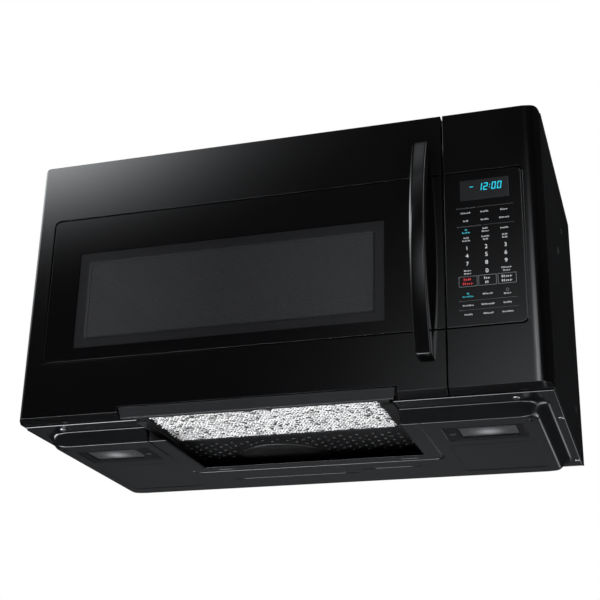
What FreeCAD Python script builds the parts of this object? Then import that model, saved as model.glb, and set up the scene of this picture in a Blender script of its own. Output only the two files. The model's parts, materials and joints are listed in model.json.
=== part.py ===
import FreeCAD, Part
import math
import os

from FreeCAD import Vector

# Over-the-range microwave oven with a hood intake, built as separate pieces.
# Units are millimetres. X runs to the right as seen from the front, Y to the back, Z up.
# The origin is under the middle of the whole object, on the plane of its lowest face.

# Overall sizes
overall_width = 759.0
overall_height = 433.0
body_depth = 402.0
handle_reach = 48.0

# Sheet metal and common clearances
case_sheet = 1.0
sheet = 0.8
gap = 0.4
running_gap = 0.05

# How far a cutting shape runs past the face that it cuts
past = 1.0

# Front panels: the skin that shows at the side, and the split between door and controls
skin_depth = 24.0
skin_wall = 3.0
front_wall = 8.0
control_width = 136.25
split_gap = 2.5
door_edge_round = 5.0
panel_edge_round = 12.0
corner_round = 9.0
front_foot_z = 29.0
chamfer_run = 8.0
chamfer_drop = 7.0
door_case_gap = 3.0
door_depth = 40.0
face_plate_gap = 3.0

# Inset glass that runs across the door and the control panel
inset_margin = 26.5
inset_from_foot = 80.0
inset_from_top = 93.0
inset_round = 9.0
inset_groove = 2.4
glass_thickness = 4.2
glass_set_back = 0.2

# Door window and the layers behind it
window_left_margin = 73.5
window_right_margin = 82.0
window_low_margin = 21.0
window_high_margin = 58.0
screen_overlap = 8.0
inner_glass_thickness = 3.0
choke_cover_thickness = 3.0
choke_width = 35.0
choke_lip = 6.0

# Door handle
handle_from_split = 27.5
handle_width = 21.0
handle_from_foot = 42.5
handle_from_top = 46.0
handle_end_reach = 16.0
handle_bar = 14.0
handle_foot = 26.0
handle_round = 6.5
handle_screw_radius = 2.5
handle_screw_head = 4.5

# Door hinges
hinge_inset = 6.0
hinge_tongue = 3.0
hinge_pin_radius = 2.5
hinge_pin_length = 14.0
hinge_boss_height = 16.0
hinge_boss_width = 15.0
hinge_slot_height = 12.0
hinge_low_wall = 4.0
hinge_reach_ahead = 6.0
hinge_tongue_width = 17.0

# Door latch
latch_strip = 7.4
latch_strip_depth = 20.0
latch_low_margin = 17.0
latch_high_margin = 12.0
latch_hook_height = 12.0
latch_hook_low = 14.0
latch_hook_high = 26.0
latch_hook_reach = 30.0
latch_nose = 4.0
latch_travel = 5.0
latch_tip = 4.0
latch_ramp = 2.0
latch_bite = 6.0
latch_slot_room = 1.5
latch_rib = 8.0
keeper_wall = 2.0
switch_width = 10.0
switch_depth = 28.0
switch_height = 16.0
latch_spring_radius = 2.6
latch_spring_wire = 0.5
latch_spring_length = 24.0
latch_spring_turns = 7

# Cooking cavity and turntable
cavity_left_margin = 26.5
cavity_head_room = 99.0
cavity_depth = 345.0
cavity_floor_z = 79.0
cavity_right_margin = 40.0
tray_radius = 162.0
tray_thickness = 5.0
tray_rim = 13.0
tray_slope_run = 22.0
tray_rim_wall = 5.0
tray_rim_bevel = 4.0
tray_lug_radius = 5.0
tray_lug_inset = 6.0
roller_radius = 7.0
roller_width = 9.0
roller_track = 116.5
roller_count = 3
roller_first_angle = 30.0
roller_axle_radius = 2.0
roller_axle_head = 2.0
roller_side_gap = 1.0
roller_ring_gap = 3.0
roller_floor_gap = 0.3
ring_width = 9.0
ring_height = 6.0
coupler_radius = 14.0
coupler_arm = 24.0
coupler_arm_width = 8.0
motor_shaft_radius = 3.0
motor_radius = 25.0
motor_height = 14.0
motor_ear = 9.0
motor_ear_width = 14.0

# Base plate: rim around a pressed belly, open in the middle for the grease filter
rim_z = 20.0
rim_front = 17.0
rim_width = 15.5
belly_rim_front = 55.0
belly_rim_rear = 19.0
belly_front = 61.0
belly_rear = 57.0
belly_side = 29.5
belly_corner = 18.0
base_flange = 16.0
recess_left = -174.0
recess_right = 167.0
recess_rear = 214.0

# Grease filter that pulls out to the front, on its two rails
filter_centre_x = -18.0
filter_width = 360.0
filter_front = 6.0
filter_length = 132.0
filter_height = 12.0
filter_border = 12.0
filter_front_border = 3.0
filter_rear_border = 6.0
filter_pad = 7.0
filter_lip = 1.5
rail_clearance = 2.5
rail_wall = 2.0
rail_ledge = 10.0
rail_ledge_thickness = 2.5
rail_front = 19.0
pull_left = -224.0
pull_right = 174.0
pull_height = 15.5
pull_low_z = 19.5
pull_proud = 1.5
pull_slope = 4.0
pull_end_slant = 3.5
pull_gap = 1.5
pull_round = 1.5
intake_length = 190.0
intake_hole_radius = 2.2
intake_hole_step = 24.0
intake_row_step = 9.4
intake_first_row = 25.5
intake_hole_rows = 9
intake_dish_offset = -40.0
intake_dish_radius = 70.0
intake_dish_depth = 6.0
intake_dish_margin = 5.0

# Cooktop lamps
lamp_room_inside = 14.5
lamp_room_outside = 23.0
lamp_front = 89.0
lamp_width = 61.0
lamp_round = 3.0
lamp_cover_height = 3.0
lamp_flange = 3.0
lens_inner_margin = 19.5
lens_outer_margin = 10.5
lens_width = 45.0
lens_forward = 4.0
lens_round = 2.0
lens_thickness = 3.2
bulb_radius = 6.5
bulb_length = 38.0
socket_length = 22.0
socket_width = 22.0
socket_above_bulb = 11.0
bulb_z = 18.0

# Vent at the top, blower and filters
vent_width = 580.0
vent_depth = 52.0
vent_front = 31.0
vent_slots = 20
vent_bar = 9.0
vent_height = 6.0
charcoal_width = 330.0
charcoal_height = 12.0
exhaust_width = 254.0
exhaust_depth = 82.0
exhaust_from_rear = 46.0
exhaust_margin = 8.0
wheel_radius = 36.0
wheel_length = 70.0
wheel_blades = 24
wheel_ring = 7.0
wheel_ring_length = 2.0
wheel_blade_thickness = 1.0
wheel_blade_inset = 0.5
scroll_gap = 6.0
scroll_wall = 1.5
blower_motor_radius = 34.0
blower_motor_length = 76.0
blower_from_rear = 62.0
blower_shaft_radius = 4.0
blower_saddle = 28.0
blower_foot_height = 8.0

# Electrical parts in the bay beside the cavity
waveguide_depth = 96.0
waveguide_width = 40.0
waveguide_height = 110.0
waveguide_from_top = 10.0
waveguide_front = 150.0
magnetron_length = 82.0
magnetron_width = 88.0
magnetron_height = 62.0
magnetron_fins = 7
magnetron_plate = 3.0
magnetron_yoke = 1.5
antenna_radius = 9.0
antenna_reach = 22.0
transformer_width = 96.0
transformer_depth = 84.0
transformer_height = 74.0
transformer_coil = 17.0
transformer_coil_round = 8.0
transformer_foot = 6.0
transformer_foot_thickness = 2.5
transformer_front_room = 4.0
chassis_inset = 10.0
capacitor_width = 54.0
capacitor_thickness = 34.0
capacitor_height = 96.0
capacitor_side_room = 10.0
capacitor_rear_room = 6.0
terminal_spacing = 24.0
terminal_width = 6.0
terminal_height = 12.0
diode_radius = 4.0
diode_length = 22.0
diode_lead_radius = 0.8
diode_lead_length = 36.0
diode_tag = 8.0
diode_side_room = 26.0
fan_radius = 52.0
fan_hub_radius = 14.0
fan_blades = 5
fan_depth = 16.0
fan_motor_size = 46.0
fan_from_rear = 84.0
fan_from_top = 84.0
fan_blade_width = 20.0
fan_blade_pitch = 32.0
fan_blade_thickness = 1.4
fan_shaft_radius = 3.0
fan_tip_gap = 3.0
fan_throat_wall = 2.0
fan_plate_margin = 14.0
fan_arm = 8.0
fan_arm_thickness = 4.0
fan_arm_gap = 6.0
fan_motor_depth = 18.0
fan_coil_depth = 26.0
fan_coil_height = 10.0
board_thickness = 1.6
relay_size = 16.0
relay_pitch = 25.6
relay_height = 22.4
board_core = 34.0
board_core_depth = 27.2

# Control panel face
display_inset = 22.5
display_width = 66.0
display_from_top = 45.0
display_height = 30.5
display_lens = 0.9

# Fasteners and outside interfaces
screw_radius = 2.0
screw_head_radius = 4.2
screw_head_height = 1.8
screw_length = 9.0
case_screw_head = 1.0
base_screw_inset = 53.0
base_screw_front = 36.0
rim_screw_inset = 7.5
rim_screw_front = 140.0
rim_screw_rear = 366.0
side_screw_low_z = 84.0
side_screw_mid_z = 285.0
side_screw_high_z = 351.0
side_screw_low_depth = 312.0
side_screw_mid_depth = 173.0
side_screw_high_depth = 250.0
cabinet_bolt_spacing = 660.0
cabinet_bolt_radius = 3.4
cabinet_bolt_depth = 200.0
nut_across_flats = 13.0
nut_height = 6.0
wall_slot_spacing = 420.0
wall_slot_width = 60.0
wall_slot_height = 8.0
wall_slot_z = 70.0
gland_radius = 9.0
gland_flange = 3.0

# Places worked out from the sizes above
half_width = overall_width / 2
front_y = (handle_reach - body_depth) / 2
back_y = front_y + body_depth
top_z = overall_height
front_low_z = front_foot_z - chamfer_drop
case_front_y = front_y + skin_depth + door_case_gap
face_y = front_y + door_depth + face_plate_gap
split_x = half_width - control_width
door_left = -half_width
door_right = split_x - split_gap / 2
panel_left = split_x + split_gap / 2
panel_right = half_width
inset_left = door_left + inset_margin
inset_right = panel_right - inset_margin
pocket_depth = glass_thickness + glass_set_back
inset_low_z = front_foot_z + inset_from_foot
inset_high_z = top_z - inset_from_top
window_low_z = inset_low_z + window_low_margin
window_high_z = inset_high_z - window_high_margin
handle_low_z = front_foot_z + handle_from_foot
handle_high_z = top_z - handle_from_top
display_left = panel_left + display_inset
display_low_z = inset_high_z - display_from_top
window_left = door_left + window_left_margin
window_right = door_right - window_right_margin
cavity_right = door_right - cavity_right_margin
cavity_left = door_left + cavity_left_margin
cavity_front_y = face_y + sheet
cavity_rear_y = cavity_front_y + cavity_depth
cavity_top_z = top_z - cavity_head_room
latch_low_z = cavity_floor_z + latch_low_margin
latch_high_z = cavity_top_z + latch_high_margin
waveguide_low_z = cavity_top_z - waveguide_from_top - waveguide_height
fan_z = cavity_top_z - fan_from_top
bay_left = cavity_right + sheet
bay_right = half_width - case_sheet
tray_x = (cavity_left + cavity_right) / 2
tray_y = (cavity_front_y + cavity_rear_y) / 2
roller_z = cavity_floor_z + roller_floor_gap + roller_radius
tray_z = roller_z + roller_radius + roller_floor_gap
hinge_x = door_left + hinge_inset
hinge_y = front_y + skin_depth - hinge_inset
filter_left = filter_centre_x - filter_width / 2
filter_right = filter_centre_x + filter_width / 2
filter_front_y = front_y + filter_front
filter_rear_y = filter_front_y + filter_length
rail_left_x = filter_left - rail_clearance
rail_right_x = filter_right + rail_clearance
filter_top_z = rim_z + filter_height
pull_top_z = pull_low_z + pull_height
notch_top_z = pull_top_z + pull_gap
sill_z = notch_top_z + gap
choke_left = cavity_left - choke_width / 3
choke_right = cavity_right + choke_width * 2 / 3
choke_low_z = cavity_floor_z - choke_width * 2 / 3
choke_high_z = cavity_top_z + choke_width * 2 / 3
inner_top_z = top_z - case_sheet
belly_left = -half_width + belly_side
belly_right = half_width - belly_side
hook_floors = (latch_low_z + latch_hook_low, latch_high_z - latch_hook_high)
lamp_inner_x = rail_wall - rail_left_x + lamp_room_inside
lamp_outer_x = belly_right - lamp_room_outside
lamp_y = front_y + lamp_front + lamp_width / 2
lens_inner_x = lamp_inner_x + lens_inner_margin
lens_outer_x = lamp_outer_x - lens_outer_margin
lens_y = lamp_y - lens_forward


# Shape helpers

def block(x0, x1, y0, y1, z0, z1):
    return Part.makeBox(x1 - x0, y1 - y0, z1 - z0, Vector(x0, y0, z0))


def rod(radius, start, direction, length):
    return Part.makeCylinder(radius, length, Vector(*start), Vector(*direction))


def tube(outer, inner, start, direction, length):
    return rod(outer, start, direction, length).cut(rod(inner, start, direction, length))


def joined(shapes):
    first, *rest = shapes
    return first.multiFuse(rest).removeSplitter() if rest else first


def grouped(shapes):
    return Part.makeCompound(shapes)


def rounded_wire(corners, place):
    """Closed outline through (u, v, radius) corners; place turns (u, v) into a point."""
    edges = []
    count = len(corners)
    tangents = []
    for i in range(count):
        u, v, radius = corners[i]
        before = corners[i - 1]
        after = corners[(i + 1) % count]
        to_before = Vector(before[0] - u, before[1] - v, 0).normalize()
        to_after = Vector(after[0] - u, after[1] - v, 0).normalize()
        corner = Vector(u, v, 0)
        half_angle = to_before.getAngle(to_after) / 2
        set_back = radius / math.tan(half_angle)
        bisector = (to_before + to_after).normalize()
        middle = corner + bisector * (radius / math.sin(half_angle) - radius)
        tangents.append((corner + to_before * set_back, middle, corner + to_after * set_back, radius))
    for i in range(count):
        start, middle, end, radius = tangents[i]
        if radius > 0:
            arc = Part.Arc(place(start.x, start.y), place(middle.x, middle.y), place(end.x, end.y))
            edges.append(arc.toShape())
        following = tangents[(i + 1) % count][0]
        if (following - end).Length > 1e-6:
            run = Part.LineSegment(place(end.x, end.y), place(following.x, following.y))
            edges.append(run.toShape())
    return Part.Wire(edges)


def plate_xz(corners, y0, y1):
    wire = rounded_wire(corners, lambda u, v: Vector(u, y0, v))
    return Part.Face(wire).extrude(Vector(0, y1 - y0, 0))


def plate_xy(corners, z0, z1):
    wire = rounded_wire(corners, lambda u, v: Vector(u, v, z0))
    return Part.Face(wire).extrude(Vector(0, 0, z1 - z0))


def plate_yz(corners, x0, x1):
    wire = rounded_wire(corners, lambda u, v: Vector(x0, u, v))
    return Part.Face(wire).extrude(Vector(x1 - x0, 0, 0))


def rectangle(u0, u1, v0, v1, radius=0.0):
    return [(u0, v0, radius), (u1, v0, radius), (u1, v1, radius), (u0, v1, radius)]


def ring_xz(outer, inner, y0, y1):
    """Flat frame between two (x0, x1, z0, z1) rectangles."""
    hole = block(inner[0], inner[1], y0 - past, y1 + past, inner[2], inner[3])
    return block(outer[0], outer[1], y0, y1, outer[2], outer[3]).cut(hole)


def grown(box, amount):
    return (box[0] - amount, box[1] + amount, box[2] - amount, box[3] + amount)


def screw(point, direction, head_height):
    """Pan head on its seat at point, with the shank running along direction."""
    seat = Vector(*point)
    along = Vector(*direction)
    head = Part.makeCylinder(screw_head_radius, head_height, seat, along * -1)
    outer = [e for e in head.Edges if (e.CenterOfMass - seat).dot(along) < -head_height / 2]
    rim = [e for e in outer if e.Closed]
    head = head.makeFillet(head_height * 0.45, rim)
    return head.fuse(Part.makeCylinder(screw_radius, screw_length, seat, along))


def screw_hole(point, direction):
    start = Vector(*point) - Vector(*direction) * screw_length
    return Part.makeCylinder(screw_radius + gap / 2, 2 * screw_length, start, Vector(*direction))


# Places of the screws that hold the base and the case

base_screw_points = [
    (side * (half_width - inset), front_y + depth, rim_z)
    for side in (-1, 1)
    for inset, depth in (
        (base_screw_inset, base_screw_front),
        (rim_screw_inset, rim_screw_front),
        (rim_screw_inset, rim_screw_rear),
    )
]
case_screw_points = [
    (side * half_width, front_y + depth, z)
    for side in (-1, 1)
    for depth, z in (
        (side_screw_low_depth, side_screw_low_z),
        (side_screw_mid_depth, side_screw_mid_z),
        (side_screw_high_depth, side_screw_high_z),
    )
]


# Outer skin of a front panel, shared by the door and the control panel

def front_skin(x0, x1, round_left):
    """Block with one rounded outer edge, a rounded top corner and a sloped lower edge."""
    rear_y = front_y + skin_depth
    left_round = door_edge_round if round_left else 0.0
    right_round = 0.0 if round_left else panel_edge_round
    plan = [(x0, front_y, left_round), (x1, front_y, right_round), (x1, rear_y, 0), (x0, rear_y, 0)]
    body = plate_xy(plan, front_low_z, top_z)
    top_left = corner_round if round_left else 0.0
    top_right = 0.0 if round_left else corner_round
    outline = [(x0, front_low_z, 0), (x1, front_low_z, 0), (x1, top_z, top_right), (x0, top_z, top_left)]
    body = body.common(plate_xz(outline, front_y, rear_y))
    side = [
        (front_y, front_foot_z, 0),
        (front_y + chamfer_run, front_low_z, 0),
        (rear_y, front_low_z, 0),
        (rear_y, top_z, 0),
        (front_y, top_z, 0),
    ]
    return body.common(plate_yz(side, x0, x1))


def inset_pocket(x0, x1, round_left, shrink):
    """Outline of the inset glass, rounded on its outer side only."""
    low, high = inset_low_z + shrink, inset_high_z - shrink
    radius = inset_round - shrink / 2
    left = radius if round_left else 0.0
    right = 0.0 if round_left else radius
    return [(x0, low, left), (x1, low, right), (x1, high, right), (x0, high, left)]


# Door

def door_frame():
    body = front_skin(door_left, door_right, True)
    rear_y = front_y + skin_depth
    glass = inset_pocket(inset_left, door_right + past, True, 0)
    body = body.cut(plate_xz(glass, front_y - past, front_y + pocket_depth))
    hollow = block(
        door_left + skin_wall, door_right - skin_wall, front_y + front_wall, rear_y + past,
        notch_top_z + skin_wall, top_z - skin_wall,
    )
    body = body.cut(hollow)
    window = block(
        window_left - screen_overlap, window_right + screen_overlap, front_y, rear_y,
        window_low_z - screen_overlap, window_high_z + screen_overlap,
    )
    body = body.cut(window)
    pull_way = block(
        pull_left - pull_gap, pull_right + pull_gap, front_y - past, rear_y + past,
        front_low_z - past, notch_top_z,
    )
    body = body.cut(pull_way)
    bosses = [
        block(door_left, door_left + hinge_boss_width + skin_wall, front_y + front_wall, rear_y,
              z, z + hinge_boss_height)
        for z in hinge_boss_floors()
    ]
    rib_left = door_right - skin_wall - gap - latch_strip
    low_rib = block(
        rib_left, door_right - skin_wall, front_y + front_wall, rear_y,
        latch_low_z - gap - latch_rib, latch_low_z - gap,
    )
    spring_top = latch_high_z + latch_spring_length
    high_rib = block(
        rib_left, door_right - skin_wall, front_y + front_wall, front_y + door_depth - 2 * gap,
        spring_top, spring_top + latch_rib,
    )
    body = joined([body, low_rib, high_rib] + bosses)
    for slot_floor in hinge_slot_floors():
        slot = block(
            door_left - past, hinge_x + hinge_sweep() + 2 * gap,
            front_y + front_wall + past, rear_y + past, slot_floor, slot_floor + hinge_slot_height,
        )
        body = body.cut(slot)
    bore = rod(hinge_pin_radius + running_gap, (hinge_x, hinge_y, front_low_z), (0, 0, 1), overall_height)
    for z in hinge_boss_floors():
        boss_room = block(
            door_left, door_left + hinge_boss_width + skin_wall, front_y, rear_y,
            z - past, z + hinge_boss_height + past,
        )
        body = body.cut(bore.common(boss_room))
    for hole in handle_screw_axes():
        body = body.cut(rod(handle_screw_radius + gap, hole, (0, 1, 0), front_wall + past))
    return body


def hinge_tongue_left():
    return -half_width + case_sheet + gap


def hinge_sweep():
    """Farthest reach of the tongue's front corners from the pin, which the slot must clear."""
    right = hinge_tongue_left() + hinge_tongue_width - hinge_x
    return math.hypot(right, hinge_reach_ahead)


def hinge_slot_floors():
    low = front_low_z + hinge_low_wall
    high = top_z - skin_wall - hinge_slot_height
    return (low, high)


def hinge_boss_floors():
    low, high = hinge_slot_floors()
    return (low + hinge_slot_height, high - hinge_boss_height)


def handle_screw_axes():
    x = door_right - handle_from_split
    inset = handle_foot / 2
    return [(x, front_y, z) for z in (handle_low_z + inset, handle_high_z - inset)]


def door_glass():
    outline = inset_pocket(
        inset_left + inset_groove, door_right - gap, True, inset_groove,
    )
    return plate_xz(outline, front_y + glass_set_back, front_y + pocket_depth)


def screen_box():
    margin = 2 * screen_overlap
    return grown((window_left, window_right, window_low_z, window_high_z), margin)


def door_screen():
    x0, x1, z0, z1 = screen_box()
    y0 = front_y + front_wall
    return block(x0, x1, y0, y0 + sheet, z0, z1)


def choke_outer():
    return (choke_left, choke_right, choke_low_z, choke_high_z)


def door_choke():
    """Folded steel channel round the window, open to the back, on its mounting plate."""
    y0 = front_y + front_wall + sheet
    y1 = front_y + door_depth - choke_cover_thickness
    outer = choke_outer()
    inner = grown(outer, -choke_width)
    opening = grown(inner, -2 * sheet)
    plate = ring_xz(outer, opening, y0, y0 + sheet)
    outer_wall = ring_xz(outer, grown(outer, -sheet), y0, y1)
    inner_wall = ring_xz(inner, grown(inner, -sheet), y0, y1)
    body = joined([plate, outer_wall, inner_wall])
    for hole in handle_screw_axes():
        body = body.cut(rod(handle_screw_head + gap, hole, (0, 1, 0), front_wall + 3 * sheet))
    return body


def choke_cover():
    y1 = front_y + door_depth
    outer = choke_outer()
    opening = grown(outer, -choke_width - choke_lip)
    return ring_xz(outer, opening, y1 - choke_cover_thickness, y1)


def door_inner_glass():
    y1 = front_y + door_depth - choke_cover_thickness
    x0, x1, z0, z1 = grown(choke_outer(), -choke_width - sheet - gap)
    return block(x0, x1, y1 - inner_glass_thickness, y1, z0, z1)


def handle_side_profile():
    """Side view of the bowed bar: outer arc, inner arc and two flat feet on the door."""
    middle_z = (handle_low_z + handle_high_z) / 2
    end_y = front_y - handle_end_reach
    peak_y = front_y - handle_reach
    inner_low = handle_low_z + handle_foot
    inner_high = handle_high_z - handle_foot
    root_y = front_y
    points = {
        "foot_low": Vector(0, root_y, handle_low_z),
        "end_low": Vector(0, end_y, handle_low_z),
        "peak": Vector(0, peak_y, middle_z),
        "end_high": Vector(0, end_y, handle_high_z),
        "foot_high": Vector(0, root_y, handle_high_z),
        "inner_high": Vector(0, root_y, inner_high),
        "inner_peak": Vector(0, peak_y + handle_bar, middle_z),
        "inner_low": Vector(0, root_y, inner_low),
    }
    edges = [
        Part.LineSegment(points["foot_low"], points["end_low"]).toShape(),
        Part.Arc(points["end_low"], points["peak"], points["end_high"]).toShape(),
        Part.LineSegment(points["end_high"], points["foot_high"]).toShape(),
        Part.LineSegment(points["foot_high"], points["inner_high"]).toShape(),
        Part.Arc(points["inner_high"], points["inner_peak"], points["inner_low"]).toShape(),
        Part.LineSegment(points["inner_low"], points["foot_low"]).toShape(),
    ]
    return Part.Wire(edges)


def door_handle():
    x = door_right - handle_from_split
    face = Part.Face(handle_side_profile())
    bar = face.extrude(Vector(handle_width, 0, 0))
    bar.translate(Vector(x - handle_width / 2, 0, 0))
    middle_z = (handle_low_z + handle_high_z) / 2
    long_arcs = [
        e for e in bar.Edges
        if e.BoundBox.ZLength > (handle_high_z - handle_low_z) * 0.9
        and abs(e.BoundBox.YMin - (front_y - handle_reach)) < 0.5
        and abs(e.CenterOfMass.z - middle_z) < 1.0
    ]
    bar = bar.makeFillet(handle_round, long_arcs)
    for hole in handle_screw_axes():
        bar = bar.cut(rod(handle_screw_radius, hole, (0, -1, 0), screw_length))
    return bar


def handle_screws():
    """Screws from behind the door wall into the feet of the handle."""
    made = []
    for x, _, z in handle_screw_axes():
        seat_y = front_y + front_wall
        shank = rod(handle_screw_radius, (x, seat_y, z), (0, -1, 0), front_wall + screw_length)
        head = rod(handle_screw_head, (x, seat_y, z), (0, 1, 0), screw_head_height)
        made.append(shank.fuse(head))
    return grouped(made)


# Door latch

def latch_hooks():
    """Sliding strip in the free edge of the door with two hooks that reach into the body."""
    x1 = door_right - skin_wall - gap
    x0 = x1 - latch_strip
    y1 = front_y + door_depth - gap
    strip = block(x0, x1, y1 - latch_strip_depth, y1, latch_low_z, latch_high_z)
    hooks = []
    for z in hook_floors:
        tip_y = y1 + latch_hook_reach
        outline = [
            (y1, z, 0),
            (tip_y - latch_tip - latch_bite - latch_ramp, z, 0),
            (tip_y - latch_tip - latch_bite, z - latch_nose, 0),
            (tip_y - latch_tip, z - latch_nose, 0),
            (tip_y, z + latch_nose, 0),
            (tip_y, z + latch_hook_height, 0),
            (y1, z + latch_hook_height, 0),
        ]
        hooks.append(plate_yz(outline, x0, x1))
    return joined([strip] + hooks)


def spring_point(turn):
    """Point on the spring's centre line after so many turns, from its foot on the strip."""
    x = door_right - skin_wall - gap - latch_strip / 2
    y = front_y + door_depth - gap - latch_strip_depth / 2
    rise = latch_spring_length - 2 * latch_spring_wire - gap
    z = latch_high_z + latch_spring_wire + gap / 2 + rise * turn / latch_spring_turns
    angle = 2 * math.pi * turn
    return Vector(
        x + latch_spring_radius * math.cos(angle), y + latch_spring_radius * math.sin(angle), z,
    )


def latch_spring():
    """Coil between the strip and the rib above it, in quarter-turn arcs."""
    step = 0.25
    arcs = []
    for i in range(int(latch_spring_turns / step)):
        start, middle, end = (spring_point((i + part) * step) for part in (0, 0.5, 1))
        arcs.append(Part.Arc(start, middle, end).toShape())
    path = Part.Wire(arcs)
    way = arcs[0].tangentAt(arcs[0].FirstParameter)
    section = Part.Wire(Part.makeCircle(latch_spring_wire, spring_point(0), way))
    return path.makePipeShell([section], True, False)


def hook_slots():
    """Openings (x0, x1, z0, z1) that let the hooks pass at any latch height."""
    x1 = door_right - skin_wall - gap
    x0 = x1 - latch_strip
    return [
        (x0 - 2 * latch_slot_room, x1 + 2 * latch_slot_room,
         z - latch_nose - latch_slot_room, z + latch_hook_height + latch_travel + latch_slot_room)
        for z in hook_floors
    ]


def latch_bracket():
    """Hollow keeper behind the face plate that takes both hooks."""
    slots = hook_slots()
    x0, x1 = slots[0][0], slots[0][1]
    z0, z1 = slots[0][2], slots[1][3]
    wall = keeper_wall
    room = latch_hook_reach + 2 * face_plate_gap
    y0 = face_y + sheet
    outer = block(x0 - wall, x1 + wall, y0, y0 + room, z0 - wall, z1 + wall)
    return outer.cut(block(x0, x1, y0 - past, y0 + room - wall, z0, z1))


def interlock_switches():
    """Three switches on the side of the keeper."""
    slots = hook_slots()
    x0 = slots[0][1] + keeper_wall
    y0 = face_y + sheet
    low, high = slots[0][2], slots[1][3] - switch_height
    return grouped([block(x0, x0 + switch_width, y0, y0 + switch_depth, z, z + switch_height)
                    for z in (low, (low + high) / 2, high)])


# Hinges

def hinge_tongue_floors():
    low, high = hinge_boss_floors()
    return (low - gap - hinge_tongue, high + hinge_boss_height + gap)


def hinge_brackets():
    """Upper and lower brackets: a tongue that carries the pin, turned up against the face plate."""
    made = []
    x0 = hinge_tongue_left()
    x1 = x0 + hinge_tongue_width
    for index, floor in enumerate(hinge_tongue_floors()):
        tongue = block(x0, x1, hinge_y - hinge_reach_ahead, face_y, floor, floor + hinge_tongue)
        turn_up = hinge_boss_height if index == 0 else -hinge_boss_height
        z0, z1 = sorted((floor, floor + turn_up))
        foot = block(x0, x1, face_y - hinge_tongue / 2, face_y, z0, z1 + hinge_tongue)
        hole = rod(hinge_pin_radius, (hinge_x, hinge_y, floor - past), (0, 0, 1), hinge_tongue + 2 * past)
        made.append(joined([tongue, foot]).cut(hole))
    return grouped(made)


def hinge_pins():
    """Shouldered pins, riveted in the tongues and running in the bosses of the door."""
    made = []
    for index, floor in enumerate(hinge_tongue_floors()):
        up = index == 0
        direction = (0, 0, 1) if up else (0, 0, -1)
        outside = floor if up else floor + hinge_tongue
        reach = hinge_tongue + gap + hinge_pin_length
        pin = rod(hinge_pin_radius, (hinge_x, hinge_y, outside), direction, reach)
        head_way = (0, 0, -direction[2])
        head = rod(hinge_pin_radius * 1.8, (hinge_x, hinge_y, outside), head_way, hinge_tongue / 2)
        made.append(pin.fuse(head))
    return grouped(made)


# Control panel

def control_frame():
    body = front_skin(panel_left, panel_right, False)
    rear_y = front_y + skin_depth
    glass = inset_pocket(panel_left - past, inset_right, False, 0)
    body = body.cut(plate_xz(glass, front_y - past, front_y + pocket_depth))
    hollow = block(
        panel_left + skin_wall, panel_right - skin_wall, front_y + front_wall, rear_y + past,
        front_low_z + skin_wall, top_z - skin_wall,
    )
    body = body.cut(hollow)
    display = block(
        display_left, display_left + display_width, front_y, rear_y,
        display_low_z, display_low_z + display_height,
    )
    body = body.cut(display)
    wing = block(
        panel_left, panel_left + skin_wall, rear_y - past, face_y, sill_z, top_z - 2 * skin_wall,
    )
    lip_x = bay_right - gap
    lip = block(
        lip_x - skin_wall, lip_x, rear_y - past, case_front_y + skin_wall * 4, rim_z + skin_wall * 4,
        top_z - skin_wall * 4,
    )
    return joined([body, wing, lip])


def control_overlay():
    outline = inset_pocket(panel_left + gap, inset_right - inset_groove, False, inset_groove)
    body = plate_xz(outline, front_y + glass_set_back, front_y + pocket_depth)
    return body.cut(display_window())


def display_window():
    y0 = front_y + glass_set_back
    return block(
        display_left, display_left + display_width, y0, y0 + display_lens,
        display_low_z, display_low_z + display_height,
    )


def display_module():
    y0 = front_y + pocket_depth
    y1 = front_y + skin_depth - skin_wall
    return block(
        display_left + gap, display_left + display_width - gap, y0, y1,
        display_low_z + gap, display_low_z + display_height - gap,
    )


def control_board():
    """Circuit board behind the touch panel, with its relays and a small transformer."""
    y0 = front_y + skin_depth - skin_wall
    x0, x1 = panel_left + 2 * skin_wall, panel_right - 5 * skin_wall
    z0, z1 = inset_low_z, inset_high_z + 4 * skin_wall
    board = block(x0, x1, y0, y0 + board_thickness, z0, z1)
    back = y0 + board_thickness
    parts = [board]
    for i in range(3):
        x = x0 + relay_size + i * relay_pitch
        z = z0 + relay_size
        parts.append(block(x, x + relay_size, back, back + relay_size, z, z + relay_height))
    core = board_core
    parts.append(block(
        x0 + core, x0 + 2 * core, back, back + board_core_depth, z1 - 3 * core, z1 - 2 * core,
    ))
    posts = [
        block(x, x + skin_wall * 2, front_y + front_wall, y0, z, z + skin_wall * 2)
        for x in (x0, x1 - skin_wall * 2)
        for z in (z0, z1 - skin_wall * 2)
    ]
    return joined(parts + posts)


# Case

def cabinet_shell():
    """Wrap of sheet metal: left side, top and right side."""
    x0, x1 = -half_width, half_width
    outer = block(x0, x1, case_front_y, back_y, rim_z, top_z)
    inner = block(
        x0 + case_sheet, x1 - case_sheet, case_front_y - past, back_y + past, rim_z - past, inner_top_z,
    )
    body = outer.cut(inner)
    vx0, vx1, vy0, vy1 = vent_area()
    body = body.cut(block(vx0, vx1, vy0, vy1, inner_top_z - past, top_z + past))
    ex0, ex1, ey0, ey1 = exhaust_area()
    body = body.cut(block(ex0, ex1, ey0, ey1, inner_top_z - past, top_z + past))
    for x in (-cabinet_bolt_spacing / 2, cabinet_bolt_spacing / 2):
        body = body.cut(rod(cabinet_bolt_radius, (x, front_y + cabinet_bolt_depth, inner_top_z - past),
                            (0, 0, 1), case_sheet + 2 * past))
    gx, gy = gland_place()
    body = body.cut(rod(gland_radius, (gx, gy, inner_top_z - past), (0, 0, 1), case_sheet + 2 * past))
    for point in case_screw_points:
        body = body.cut(screw_hole(point, (-math.copysign(1, point[0]), 0, 0)))
    return body


def vent_area():
    x1 = door_right - 3 * skin_wall
    y0 = front_y + vent_front
    return (x1 - vent_width, x1, y0, y0 + vent_depth)


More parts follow.
